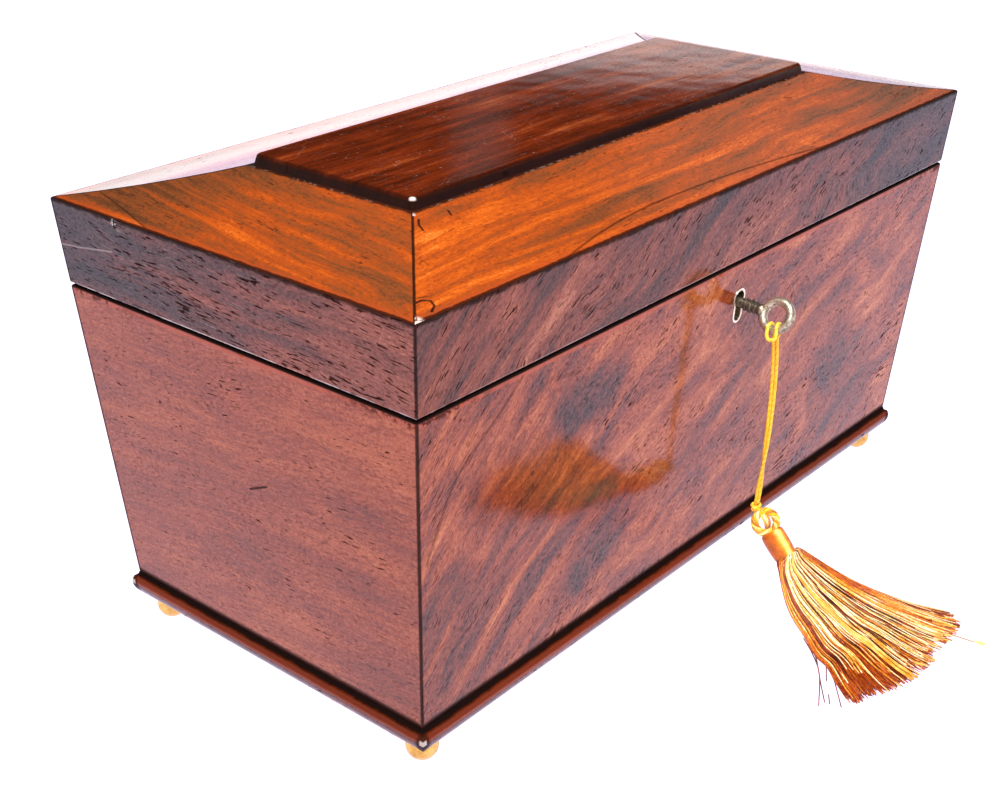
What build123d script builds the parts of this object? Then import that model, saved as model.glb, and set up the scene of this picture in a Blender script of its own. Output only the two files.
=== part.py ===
from build123d import *
import os
from math import sin, cos, tan, radians, degrees, sqrt, atan2

os.makedirs("parts", exist_ok=True)

# Antique tea caddy: flared mahogany case on ball feet, hinged lid with a raised panel,
# lock with its key in place, and a silk cord and tassel hanging from the key.
# Millimetres. +Z up, X along the length, front towards -Y, origin on the surface it
# stands on, under the middle of the overall box.

# ---- driving dimensions -------------------------------------------------------------
joint_z = 126.4          # height of the line where lid meets case
joint_gap = 0.4          # gap between lid and case
joint_hx = 152.5         # half length at the joint line
joint_hy = 75.45         # half width at the joint line
flare = 0.0733           # outward slope of every side, mm per mm of height
case_z0 = 17.9           # underside of the case walls
lid_top_z = 155.3        # arris between lid sides and slopes
panel_foot_z = 164.0     # where the slopes meet the raised panel
panel_top_z = 167.4
panel_foot_hx, panel_foot_hy = 109.7, 34.7
panel_top_hx, panel_top_hy = 108.65, 33.9
slope_sag = 0.9          # hollow of the sloping boards at mid width
wall = 10.0              # case wall
lid_wall = 9.0           # lid side boards
slope_t = 6.0            # sloping boards
base_z0 = 11.8           # underside of the bottom board
mould_z0 = 9.7           # underside of the base moulding, its lip hangs below the board
base_nose = 2.0          # moulding's nose, proud of the case
base_in = 5.0            # moulding's depth under the case edge
foot_inset = 7.2
foot_r = 5.25
foot_ball_z = 4.97
part_t = 5.0             # partitions and lift-out lids
bay_hx = 44.0            # half width of the bowl's bay
board_z = 112.0          # top of the partitions
shift_y = 8.25           # puts the overall box's middle on the origin

key_x = 7.3              # keyhole's place along the front
key_z = 110.8            # key's axis where it crosses the front face
key_rest = 32.0          # degrees the key is turned from its entering position
bow_R, bow_r = 4.90, 1.55
bow_w = 15.0             # bow's centre, out from the face
shank_r = 1.8
bolt_rate = 2.99         # bolt travel, mm per radian of key

hinge_x = 95.0
hinge_y = joint_hy + 1.55
hinge_half = 15.0
knuckle_r = 2.2
hinge_pin_r = 1.0
leaf_t = 1.2

cord_d = 2.4             # doubled silk cord, across both strands

tilt = degrees(atan2(flare, 1.0))


def half(base, z):
    """Half size of the flared outside at height z."""
    return base + flare * (z - joint_z)


# ---- helpers ------------------------------------------------------------------------
def prism_x(pts, hx):
    """Polygon in (y, z), extruded both ways along X."""
    return extrude(Plane.YZ * make_face(Polyline(*pts, close=True)), amount=hx, both=True)


def prism_y(pts, hy):
    """Polygon in (x, z), extruded both ways along Y."""
    return extrude(Plane.XZ * make_face(Polyline(*pts, close=True)), amount=hy, both=True)


def flip(pts):
    return [(-p, z) for p, z in pts]


def block(x0, x1, y0, y1, z0, z1):
    return Pos((x0 + x1) / 2, (y0 + y1) / 2, (z0 + z1) / 2) * Box(x1 - x0, y1 - y0, z1 - z0)


def frustum(inset, z0, z1):
    """Flared block: the outside pulled in by inset, between two heights."""
    ya, xa = half(joint_hy, z0) - inset, half(joint_hx, z0) - inset
    return extrude(Pos(0, 0, z0) * Rectangle(2 * xa, 2 * ya), amount=z1 - z0, taper=-tilt)


def wedge(side, px, py, qx, qy):
    """Plan sector for one side, its mitres running through corners (px, py) and (qx, qy)."""
    k = (px - qx) / (py - qy)
    x0 = qx - k * qy
    big = 140.0
    if side == "front":
        pts = [(-x0, 0), (-x0 - k * big, -big), (x0 + k * big, -big), (x0, 0)]
    elif side == "back":
        pts = [(-x0, 0), (x0, 0), (x0 + k * big, big), (-x0 - k * big, big)]
    elif side == "left":
        pts = [(-x0, 0), (-x0 - k * big, big), (-x0 - k * big, -big)]
    else:
        pts = [(x0, 0), (x0 + k * big, -big), (x0 + k * big, big)]
    return extrude(make_face(Polyline(*pts, close=True)), amount=260)


def square_wedge(side):
    return wedge(side, joint_hx, joint_hy, joint_hx - 40, joint_hy - 40)


nodes = {}


def keep(name, shape):
    """Record a finished piece, moved into the row's frame."""
    solids = shape.solids() if hasattr(shape, "solids") else ShapeList([s for p in shape for s in p.solids()])
    moved = [Pos(0, shift_y, 0) * s for s in solids]
    nodes[name] = moved[0] if len(moved) == 1 else Compound(children=moved)
    nodes[name].label = name


# ---- case ---------------------------------------------------------------------------
case_top = joint_z - joint_gap / 2
lid_bottom = joint_z + joint_gap / 2


def case_profile(base):
    a, b = half(base, case_z0), half(base, case_top)
    f = make_face(Polyline((-a, case_z0), (a, case_z0), (b, case_top), (-b, case_top), close=True))
    tops = f.vertices().sort_by(Axis.Y)[-2:]
    return fillet(tops, 0.9)


case_yz = extrude(Plane.YZ * case_profile(joint_hy), amount=200, both=True)
case_xz = extrude(Plane.XZ * case_profile(joint_hx), amount=120, both=True)


def wall_section(base):
    """Region of one wall in section, generous outside and past both ends."""
    return [(half(base, 10) - wall, 10), (half(base, 135) - wall, 135), (base + 30, 135), (base + 30, 10)]


# Frame of the lock and key: origin where the key's axis crosses the front face,
# u along X, v up the face, w straight out of the face.
face_y = -half(joint_hy, key_z)
lock_frame = Plane(origin=(key_x, face_y, key_z), x_dir=(1, 0, 0),
                   z_dir=(0, -cos(radians(tilt)), -sin(radians(tilt))))


def lock_box(u0, u1, v0, v1, w0, w1):
    return lock_frame * block(u0, u1, v0, v1, w0, w1)


def keyhole(extra, w0, w1):
    """Keyhole outline (round head, straight slot with a round end) between two depths."""
    head = Pos(0, 1.5, 0) * Cylinder(2.6 + extra, 1)
    slot = Pos(0, (1.5 - 5.05) / 2, 0) * Box(2 * (1.9 + extra), 1.5 + 5.05, 1)
    end = Pos(0, -5.05, 0) * Cylinder(1.9 + extra, 1)
    shape = head + slot + end
    face = shape.faces().sort_by(Axis.Z)[-1]
    face = Pos(0, 0, -face.center().Z) * face
    return lock_frame * extrude(Pos(0, 0, w0) * face, amount=w1 - w0, dir=(0, 0, 1))


lock_hu = 21.0
lock_v0, lock_v1 = -14.0, 14.9
lock_w0, lock_w1 = -9.98, -3.2      # inner face and outer face of the lock case

front = case_yz & prism_x(flip(wall_section(joint_hy)), 190) & square_wedge("front")
front -= keyhole(0.85, -2.4, 4)
front -= keyhole(0.15, -4, -2.0)
front -= lock_box(-lock_hu, lock_hu, lock_v0, 20, -11.5, lock_w1)
plate_hu = 24.6
lock_screw_uv = [(-22.8, 10.5), (22.8, 10.5), (-22.8, -9.5), (22.8, -9.5)]
for u, v in lock_screw_uv:
    front -= lock_frame * (Pos(u, v, -8.0) * Cylinder(0.9, 8.0))
keep("front_panel", front)

back = case_yz & prism_x(wall_section(joint_hy), 190) & square_wedge("back")
for sx in (-1, 1):
    back -= block(sx * hinge_x - hinge_half, sx * hinge_x + hinge_half, hinge_y - 9.55, hinge_y + 3,
                  joint_z - 0.1 - leaf_t, joint_z + 5)
    back -= Pos(sx * hinge_x, hinge_y, joint_z) * Rot(0, 90, 0) * Cylinder(2.6, 2 * hinge_half + 0.4)
hinge_screw_dx = (-10.0, 0.0, 10.0)
hinge_screw_y = hinge_y - 6.4
for sx in (-1, 1):
    for dx in hinge_screw_dx:
        back -= Pos(sx * hinge_x + dx, hinge_screw_y, joint_z - 4.5) * Cylinder(0.8, 8.0)
keep("back_panel", back)
keep("left_end_panel", case_xz & prism_y(flip(wall_section(joint_hx)), 110) & square_wedge("left"))
keep("right_end_panel", case_xz & prism_y(wall_section(joint_hx), 110) & square_wedge("right"))

# ---- bottom board and base moulding --------------------------------------------------
base_hx, base_hy = half(joint_hx, case_z0), half(joint_hy, case_z0)
bottom = block(-base_hx + base_in, base_hx - base_in, -base_hy + base_in, base_hy - base_in, base_z0, case_z0)
stud_r = 1.5
feet_xy = {
    "front_left_foot": (-base_hx + foot_inset, -base_hy + foot_inset),
    "front_right_foot": (base_hx - foot_inset, -base_hy + foot_inset),
    "back_left_foot": (-base_hx + foot_inset, base_hy - foot_inset),
    "back_right_foot": (base_hx - foot_inset, base_hy - foot_inset),
}
for x, y in feet_xy.values():
    bottom -= Pos(x, y, base_z0 + 2.4) * Cylinder(stud_r, 4.8)
keep("bottom_board", bottom)


def moulding_section():
    """Base moulding's section: (distance out from the case edge, height)."""
    n, z0, z1 = base_nose, mould_z0, case_z0
    line = (
        Polyline((-base_in, base_z0), (-2.4, base_z0), (-2.4, z0), (-0.1, z0), (0.6, z0 + 0.5))
        + ThreePointArc((0.6, z0 + 0.5), (n - 0.05, z0 + 3.0), (n - 0.45, z1 - 1.45))
        + ThreePointArc((n - 0.45, z1 - 1.45), (0.62, z1 - 1.02), (0.35, z1 - 0.45))
        + Polyline((0.35, z1 - 0.45), (0.35, z1), (-base_in, z1), (-base_in, base_z0))
    )
    return make_face(line)


sec = moulding_section()
runs_x = extrude(Plane.YZ * (Pos(base_hy, 0) * sec), amount=200, both=True)
runs_y = extrude(Plane.XZ * (Pos(base_hx, 0) * sec), amount=120, both=True)
keep("back_base_moulding", runs_x & square_wedge("back"))
keep("front_base_moulding", mirror(runs_x, about=Plane.XZ) & square_wedge("front"))
keep("right_base_moulding", runs_y & square_wedge("right"))
keep("left_base_moulding", mirror(runs_y, about=Plane.YZ) & square_wedge("left"))

# ---- ball feet -----------------------------------------------------------------------
neck_r = 2.3
neck_low = foot_ball_z + 3.0
foot_profile = Polyline((0, neck_low), (neck_r, neck_low), (neck_r, 10.7), (3.6, 11.1), (3.6, base_z0),
                        (stud_r, base_z0), (stud_r, base_z0 + 4.8), (0, base_z0 + 4.8), close=True)
ball = Pos(0, 0, foot_ball_z) * Sphere(foot_r) - Pos(0, 0, -5) * Box(20, 20, 10)
foot = ball + revolve(Plane.XZ * make_face(foot_profile), axis=Axis.Z)
for name, (x, y) in feet_xy.items():
    keep(name, Pos(x, y, 0) * foot)

# ---- inside of the case ---------------------------------------------------------------
for sx, side in ((-1, "left"), (1, "right")):
    xa, xb = sorted((sx * bay_hx, sx * (bay_hx + part_t)))
    keep(f"{side}_partition", frustum(wall, case_z0, case_top) & block(xa, xb, -100, 100, case_z0, board_z))
    xa, xb = sorted((sx * (bay_hx + part_t), sx * 160))
    ledge = frustum(wall, case_z0, case_top) & block(xa, xb, -100, 100, board_z - 4, board_z)
    ledge -= block(-200, 200, -60.2, 60.2, board_z - 6, board_z + 2)
    keep(f"{side}_well_ledges", ledge)
    xa, xb = sorted((sx * (bay_hx + part_t + 0.4), sx * 160))
    lid_plate = frustum(wall + 0.5, case_z0, case_top) & block(xa, xb, -100, 100, board_z, board_z + part_t)
    lid_plate = chamfer(lid_plate.faces().sort_by(Axis.Z)[-1].edges(), 0.7)
    cx = sx * (bay_hx + part_t + 45.0)
    lid_plate -= Pos(cx, 0, board_z + part_t) * Cylinder(1.6, 6.0)
    keep(f"{side}_well_lid", lid_plate)
    kz = board_z + part_t
    knob_line = (
        Polyline((0, -3.0), (1.6, -3.0), (1.6, 0.0), (4.2, 0.0), (4.2, 1.0), (2.2, 2.2))
        + ThreePointArc((2.2, 2.2), (1.9, 3.4), (3.0, 4.6))
        + ThreePointArc((3.0, 4.6), (5.6, 7.0), (3.2, 9.4))
        + Polyline((3.2, 9.4), (1.0, 9.9), (0, 9.9), (0, -3.0))
    )
    keep(f"{side}_well_knob", Pos(cx, 0, kz) * revolve(Plane.XZ * make_face(knob_line), axis=Axis.Z))

bowl_hole_r = 37.8
bowl_board = frustum(wall, case_z0, case_top) & block(-bay_hx - part_t, bay_hx + part_t, -100, 100,
                                                      board_z, board_z + part_t)
bowl_board -= Pos(0, 0, board_z) * Cylinder(bowl_hole_r, 30)
bowl_board -= lock_box(-plate_hu - 0.4, plate_hu + 0.4, -18, 20, -11.4, -5)
keep("bowl_board", bowl_board)

rim_z = board_z + part_t
bowl_line = (
    Polyline((0, rim_z - 63.0), (15.5, rim_z - 63.0), (16.5, rim_z - 60.0))
    + ThreePointArc((16.5, rim_z - 60.0), (31.0, rim_z - 41.0), (36.2, rim_z - 8.0))
    + Polyline((36.2, rim_z - 8.0), (36.6, rim_z), (40.0, rim_z))
    + ThreePointArc((40.0, rim_z), (41.2, rim_z + 1.7), (39.6, rim_z + 3.2))
    + Polyline((39.6, rim_z + 3.2), (34.6, rim_z + 3.2), (33.2, rim_z - 8.0))
    + ThreePointArc((33.2, rim_z - 8.0), (28.4, rim_z - 39.0), (14.0, rim_z - 56.0))
    + Polyline((14.0, rim_z - 56.0), (0, rim_z - 57.5), (0, rim_z - 63.0))
)
keep("mixing_bowl", revolve(Plane.XZ * make_face(bowl_line), axis=Axis.Z))

# ---- lid -----------------------------------------------------------------------------
lid_hy, lid_hx = half(joint_hy, lid_top_z), half(joint_hx, lid_top_z)


def lid_profile(base, top_half, foot_half):
    """Lid's outside in section: flared side, hollow slope, flat under the raised panel."""
    a = half(base, lid_bottom)
    mid = (top_half + foot_half) / 2
    midz = (lid_top_z + panel_foot_z) / 2 - slope_sag
    ln = (
        Polyline((-a, lid_bottom), (a, lid_bottom), (top_half, lid_top_z))
        + ThreePointArc((top_half, lid_top_z), (mid, midz), (foot_half, panel_foot_z))
        + Line((foot_half, panel_foot_z), (-foot_half, panel_foot_z))
        + ThreePointArc((-foot_half, panel_foot_z), (-mid, midz), (-top_half, lid_top_z))
        + Line((-top_half, lid_top_z), (-a, lid_bottom))
    )
    f = make_face(ln)
    arris = [v for v in f.vertices() if abs(abs(v.X) - top_half) < 0.01]
    f = fillet(arris, 0.8)
    low = [v for v in f.vertices() if abs(abs(v.X) - a) < 0.01 and abs(v.Y - lid_bottom) < 0.01]
    return fillet(low, 0.9)


lid_yz = extrude(Plane.YZ * lid_profile(joint_hy, lid_hy, panel_foot_hy), amount=200, both=True)
lid_xz = extrude(Plane.XZ * lid_profile(joint_hx, lid_hx, panel_foot_hx), amount=120, both=True)

inner_z = 151.1          # where slope's underside meets the side board's inner face


def side_section(top_half, base):
    b = half(base, inner_z) - lid_wall
    k = (lid_top_z - inner_z) / (top_half - b)
    far = top_half + 14
    return [(half(base, 120.0) - lid_wall, 120.0), (b, inner_z), (far, inner_z + k * (far - b)), (far, 120.0)]


def slope_section(top_half, base, foot_half):
    b = half(base, inner_z) - lid_wall
    k = (lid_top_z - inner_z) / (top_half - b)
    far = top_half + 14
    return [(b, inner_z), (far, inner_z + k * (far - b)), (far, 185.0), (foot_half - 0.6, 185.0),
            (foot_half - 0.6, panel_foot_z - slope_t)]


sy, sx_ = side_section(lid_hy, joint_hy), side_section(lid_hx, joint_hx)
py_, px_ = slope_section(lid_hy, joint_hy, panel_foot_hy), slope_section(lid_hx, joint_hx, panel_foot_hx)
slope_mitre = (lid_hx, lid_hy, panel_foot_hx, panel_foot_hy)

lid_front = lid_yz & prism_x(flip(sy), 190) & square_wedge("front")
lid_back = lid_yz & prism_x(sy, 190) & square_wedge("back")
link_hu, link_t = 22.0, 1.2
link_y0 = -half(joint_hy, lid_bottom) + 2.0
link_y1 = -half(joint_hy, lid_bottom) + lid_wall
lid_front -= block(key_x - link_hu, key_x + link_hu, link_y0, link_y1 + 1, lid_bottom - 1, lid_bottom + link_t)
for du in (-18.0, 18.0):
    lid_front -= Pos(key_x + du, (link_y0 + link_y1) / 2, lid_bottom + 4) * Cylinder(0.8, 8.0)
for sx in (-1, 1):
    lid_back -= block(sx * hinge_x - hinge_half, sx * hinge_x + hinge_half, hinge_y - 9.55, hinge_y + 3,
                      joint_z - 5, joint_z + 0.1 + leaf_t)
    lid_back -= Pos(sx * hinge_x, hinge_y, joint_z) * Rot(0, 90, 0) * Cylinder(2.6, 2 * hinge_half + 0.4)
    for dx in hinge_screw_dx:
        lid_back -= Pos(sx * hinge_x + dx, hinge_screw_y, joint_z + 4.5) * Cylinder(0.8, 8.0)
slopes = {
    "front": lid_yz & prism_x(flip(py_), 190) & wedge("front", *slope_mitre),
    "back": lid_yz & prism_x(py_, 190) & wedge("back", *slope_mitre),
    "left": lid_xz & prism_y(flip(px_), 110) & wedge("left", *slope_mitre),
    "right": lid_xz & prism_y(px_, 110) & wedge("right", *slope_mitre),
}
for side, shape in slopes.items():
    keep(f"{side}_slope", shape)
keep("lid_front_board", lid_front - slopes["left"] - slopes["right"])
keep("lid_back_board", lid_back - slopes["left"] - slopes["right"])
keep("lid_left_board", lid_xz & prism_y(flip(sx_), 110) & square_wedge("left"))
keep("lid_right_board", lid_xz & prism_y(sx_, 110) & square_wedge("right"))

# raised panel: a board dropped between the slopes, its edges rounded over
tongue_z = panel_foot_z - slope_t
foot_rect = Pos(0, 0, panel_foot_z) * RectangleRounded(2 * panel_foot_hx - 0.2, 2 * panel_foot_hy - 0.2, 2.6)
top_rect = Pos(0, 0, panel_top_z) * RectangleRounded(2 * panel_top_hx, 2 * panel_top_hy, 2.6)
raised = loft([foot_rect, top_rect])
raised = fillet(raised.faces().sort_by(Axis.Z)[-1].edges(), 1.3)
raised += block(-panel_foot_hx + 0.65, panel_foot_hx - 0.65, -panel_foot_hy + 0.65, panel_foot_hy - 0.65,
                tongue_z, panel_foot_z)
keep("raised_panel", raised)

ceiling = frustum(lid_wall + 0.05, 148.0, 150.0)
keep("lid_ceiling", ceiling)

# ---- hinges --------------------------------------------------------------------------
def leaf(sx, upper):
    s = 1 if upper else -1
    za, zb = sorted((joint_z + s * 0.1, joint_z + s * (0.1 + leaf_t)))
    cx = sx * hinge_x
    plate = block(cx - hinge_half, cx + hinge_half, hinge_y - 9.55, hinge_y, za, zb)
    own = [(-5.0, 5.0)] if upper else [(-15.0, -5.2), (5.2, 15.0)]
    other = [(-15.0, -5.0), (5.0, 15.0)] if upper else [(-5.2, 5.2)]
    for a, b in other:
        plate -= Pos(cx + (a + b) / 2, hinge_y, joint_z) * Rot(0, 90, 0) * Cylinder(knuckle_r + 0.25, b - a)
    for a, b in own:
        plate += Pos(cx + (a + b) / 2, hinge_y, joint_z) * Rot(0, 90, 0) * Cylinder(knuckle_r, b - a)
    bore = hinge_pin_r + (0.05 if upper else 0.0)
    plate -= Pos(cx, hinge_y, joint_z) * Rot(0, 90, 0) * Cylinder(bore, 40)
    for dx in hinge_screw_dx:
        z_out = joint_z + s * 0.1
        z_in = joint_z + s * (0.1 + 0.8)
        c = Cone(0.8, 1.5, 0.8)
        c = Pos(0, 0, (z_out + z_in) / 2) * (Rot(180, 0, 0) * c if upper else c)
        plate -= Pos(cx + dx, hinge_screw_y, 0) * c
        plate -= Pos(cx + dx, hinge_screw_y, joint_z + s * 1.2) * Cylinder(0.8, 3.0)
    return plate


def leaf_screws(upper):
    s = 1 if upper else -1
    out = []
    for sx in (-1, 1):
        for dx in hinge_screw_dx:
            c = Cone(0.8, 1.5, 0.8)
            c = Pos(0, 0, joint_z + s * 0.5) * (Rot(180, 0, 0) * c if upper else c)
            c += Pos(0, 0, joint_z + s * 4.6) * Cylinder(0.8, 7.6)
            c -= Pos(0, 0, joint_z + s * 0.1) * Rot(0, 0, 20 + 35 * dx) * Box(4, 0.35, 0.6)
            out.append(Pos(sx * hinge_x + dx, hinge_screw_y, 0) * c)
    return out


for sx, side in ((-1, "left"), (1, "right")):
    keep(f"{side}_hinge_lower_leaf", leaf(sx, False))
    keep(f"{side}_hinge_upper_leaf", leaf(sx, True))
    pin = Pos(sx * hinge_x, hinge_y, joint_z) * Rot(0, 90, 0) * Cylinder(hinge_pin_r, 2 * hinge_half)
    keep(f"{side}_hinge_pin", pin)
keep("lower_hinge_screws", leaf_screws(False))
keep("upper_hinge_screws", leaf_screws(True))

# ---- keyhole liner --------------------------------------------------------------------
liner = keyhole(0.85, -2.4, 0.22) - keyhole(0.0, -3.0, 2.0)
keep("keyhole_liner", liner)

# ---- lock -----------------------------------------------------------------------------
case_in_w = -4.0
lock = block(-lock_hu, lock_hu, lock_v0, lock_v1, lock_w0, lock_w1)
lock -= block(-lock_hu + 1, lock_hu - 1, lock_v0 + 1, lock_v1 - 1.2, lock_w0 - 1, case_in_w)
lock -= Pos(0, 0, -3.6) * Cylinder(shank_r + 0.08, 2)
lock -= block(-1.1, 1.1, -5.9, 0, -5.0, -2.0)
tab_u = [(-5.6, -4.0), (8.4, 10.0)]
tab_w = (-8.9, -4.7)
for a, b in tab_u:
    lock -= block(a - 0.7, b + 0.7, lock_v1 - 2, lock_v1 + 1, tab_w[0] - 0.7, tab_w[1] + 0.5)
guides = [(-10.0, -1.5), (10.5, -1.5)]
for u, v in guides:
    lock += Pos(u, v, (case_in_w - 8.6) / 2) * Cylinder(1.0, abs(-8.6 - case_in_w))
keep("lock_case", lock_frame * lock)

plate = block(-plate_hu, plate_hu, -13.6, 14.6, lock_w0 - 1.0, lock_w0)
for u, v in lock_screw_uv:
    plate -= Pos(u, v, lock_w0 - 0.5) * Cylinder(0.9, 3)
    plate -= Pos(u, v, lock_w0 - 0.65) * Rot(180, 0, 0) * Cone(0.9, 1.6, 0.7)
plate -= Pos(0, 0, lock_w0 - 0.5) * Cylinder(0.75, 3)
keep("lock_plate", lock_frame * plate)

screws = []
for i, (u, v) in enumerate(lock_screw_uv):
    s = Pos(u, v, lock_w0 - 0.65) * Rot(180, 0, 0) * Cone(0.9, 1.6, 0.7)
    s += Pos(u, v, lock_w0 + 2.1) * Cylinder(0.9, 6.0)
    s -= Pos(u, v, lock_w0 - 1.0) * Rot(0, 0, 25 + 50 * i) * Box(4, 0.4, 0.6)
    screws.append(lock_frame * s)
keep("lock_screws", screws)
keep("drill_pin", lock_frame * (Pos(0, 0, (-5.2 + lock_w0 - 1.0) / 2) * Cylinder(0.75, abs(lock_w0 - 1.0 + 5.2))))

# bolt: in its own frame the key's axis starts at u = 0 and moves +bolt_rate per radian
s_rest = -bolt_rate * radians(key_rest)
bw0, bw1 = -7.4, -6.2
bolt = block(-13.0, 18.17, -7.5, 6.5, bw0, bw1)
window = make_face(Polyline((-2.5, -5.7), (1.2, -5.7), (1.6, -2.6), (7.0, -2.3), (7.0, 2.3), (-2.5, 2.3), close=True))
bolt -= extrude(Pos(0, 0, bw0 - 1) * window, amount=4)
for u, v in guides:
    bolt -= block(u - 1.3, u + 4.7 + 1.3, v - 1.25, v + 1.25, bw0 - 1, bw1 + 1)
bolt += block(0.3 - s_rest, 3.3 - s_rest, 6.0, 11.5, bw0, bw1)
bolt += block(-3.6 - s_rest, 3.3 - s_rest, 9.5, 11.5, bw0, bw1)
bolt += block(14.0 - s_rest, 16.5 - s_rest, 6.0, 11.5, bw0, bw1)
bolt += block(10.4 - s_rest, 16.5 - s_rest, 9.5, 11.5, bw0, bw1)
keep("lock_bolt", lock_frame * (Pos(s_rest, 0, 0) * bolt))

# link plate under the lid's front board, with two staples for the bolt
link = block(key_x - link_hu, key_x + link_hu, link_y0, link_y1, lid_bottom, lid_bottom + link_t)
for a, b in tab_u:
    tab = block(a, b, 7.6, 16.2, tab_w[0], tab_w[1]) - block(a - 1, b + 1, 9.0, 12.0, -8.1, -5.5)
    link += lock_frame * tab
for du in (-18.0, 18.0):
    cy = (link_y0 + link_y1) / 2
    link -= Pos(key_x + du, cy, lid_bottom + 0.4) * Rot(180, 0, 0) * Cone(0.8, 1.5, 0.8)
    link -= Pos(key_x + du, cy, lid_bottom + 1) * Cylinder(0.8, 3)
keep("link_plate", link)
link_screws = []
for du in (-18.0, 18.0):
    cy = (link_y0 + link_y1) / 2
    s = Pos(0, 0, lid_bottom + 0.4) * Rot(180, 0, 0) * Cone(0.8, 1.5, 0.8)
    s += Pos(0, 0, lid_bottom + 4.3) * Cylinder(0.8, 7.4)
    s -= Pos(0, 0, lid_bottom) * Rot(0, 0, 40 + du) * Box(4, 0.35, 0.6)
    link_screws.append(Pos(key_x + du, cy, 0) * s)
keep("link_plate_screws", link_screws)

# ---- key ------------------------------------------------------------------------------
key_end = -9.3
key = Pos(0, 0, (key_end + 9.4) / 2) * Cylinder(shank_r, 9.4 - key_end)
key = chamfer(key.edges().filter_by(GeomType.CIRCLE).sort_by(Axis.Z)[0], 0.3)
for w, r, t in ((3.3, 2.25, 1.0), (5.2, 2.35, 1.1), (7.0, 2.25, 0.9)):
    ring = Pos(0, 0, w) * Cylinder(r, t)
    ring = fillet(ring.edges().filter_by(GeomType.CIRCLE), 0.35)
    key += ring
key += Pos(0, 0, 8.9) * Sphere(2.05)
bow = Pos(0, 0, bow_w) * Rot(0, 90, 0) * Torus(bow_R, bow_r)
key += bow
bit = block(-0.8, 0.8, -5.2, -1.0, -8.9, -5.0) - block(-2, 2, -4.2, -2.8, -8.0, -7.3) - block(-2, 2, -6, -4.0, -6.1, -5.6)
key += bit
key -= Pos(0, 0, (key_end - 4.8) / 2) * Cylinder(0.85, abs(key_end + 4.8) + 0.001)
turn = Rot(0, 0, -key_rest)
keep("key", lock_frame * (turn * key))

# ---- silk hitch on the bow --------------------------------------------------------------
# angle round the bow from straight out, the way its entering side is up
hitch_a = 285.0
ha = radians(hitch_a)
# plane square to the bow's wire at the hitch
hitch_plane = Plane(origin=(0, bow_R * sin(ha), bow_w + bow_R * cos(ha)), x_dir=(1, 0, 0),
                    z_dir=(0, cos(ha), -sin(ha)))
hitch = hitch_plane * Cylinder(bow_r + 1.05, 4.4)
hitch = fillet(hitch.edges().filter_by(GeomType.CIRCLE), 0.6)
drop = Pos(0, (bow_R + bow_r + 0.8) * sin(ha), bow_w + (bow_R + bow_r + 0.8) * cos(ha)) * Sphere(1.5)
hitch += drop
hitch -= bow
keep("cord_hitch", lock_frame * (turn * hitch))

# ---- cord ------------------------------------------------------------------------------
# from under the hitch down to the knot on the tassel's ring (before the frame's shift)
cord_pts = [(5.0, -90.75, 101.9), (6.7, -90.7, 92.5), (7.4, -90.2, 71.5), (7.3, -88.9, 50.0), (7.2, -88.0, 37.9)]


def bend_radii(pts):
    out = []
    for a, b, c in zip(pts, pts[1:], pts[2:]):
        v1, v2 = Vector(*b) - Vector(*a), Vector(*c) - Vector(*b)
        t = radians(v1.get_angle(v2))
        out.append(0.45 * min(v1.length, v2.length) / tan(t / 2))
    return out


radii = bend_radii(cord_pts)
cord_line = FilletPolyline(*cord_pts, radius=radii)
cord_start = Plane(origin=cord_line @ 0, z_dir=cord_line % 0)
cord_tube = sweep(cord_start * Circle(cord_d / 2), path=cord_line)
print("cord radii", [round(r, 1) for r in radii])
print("cord length", round(cord_line.length, 2), "volume", round(cord_tube.volume, 2),
      "section x length", round(3.14159265 * (cord_d / 2) ** 2 * cord_line.length, 2))
keep("key_cord", cord_tube)

# ---- knot, ring, head and skirt of the tassel ----------------------------------------------
knot_c = (7.2, -87.9, 36.2)
knot_s = Pos(*knot_c) * Sphere(1.95)
knot_s -= Pos(knot_c[0], knot_c[1], knot_c[2] + 5 + 1.66) * Box(10, 10, 10)
tz = Vector(0, -0.656, -0.755).normalized()          # along the tassel, from ring to skirt
ring_n = Vector(-0.688, -0.548, 0.476).normalized()  # ring's own axis
ring_c = Vector(7.3, -92.2, 31.5)
ring_R, ring_t = 3.85, 1.15
ring_shape = Plane(origin=ring_c, z_dir=ring_n) * Torus(ring_R, ring_t)
knot_s -= Plane(origin=ring_c, z_dir=ring_n) * Torus(ring_R, ring_t + 0.02)
keep("tassel_knot", max(knot_s.solids(), key=lambda s: s.volume))
keep("tassel_ring", ring_shape)
head_p0 = ring_c + tz * (ring_R + ring_t - 0.4)
head_len = 9.4
head_frame = Plane(origin=head_p0, x_dir=(1, 0, 0), z_dir=tz)
head_line = (
    Polyline((0, 0), (2.6, 0))
    + ThreePointArc((2.6, 0), (3.95, 2.6), (3.9, 6.0))
    + Polyline((3.9, 6.0), (3.45, head_len), (0, head_len), (0, 0))
)
head = head_frame * revolve(Plane.XZ * make_face(head_line), axis=Axis.Z)
head -= Plane(origin=ring_c, z_dir=ring_n) * Torus(ring_R, ring_t + 0.02)
keep("tassel_head", max(head.solids(), key=lambda s: s.volume))

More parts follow.
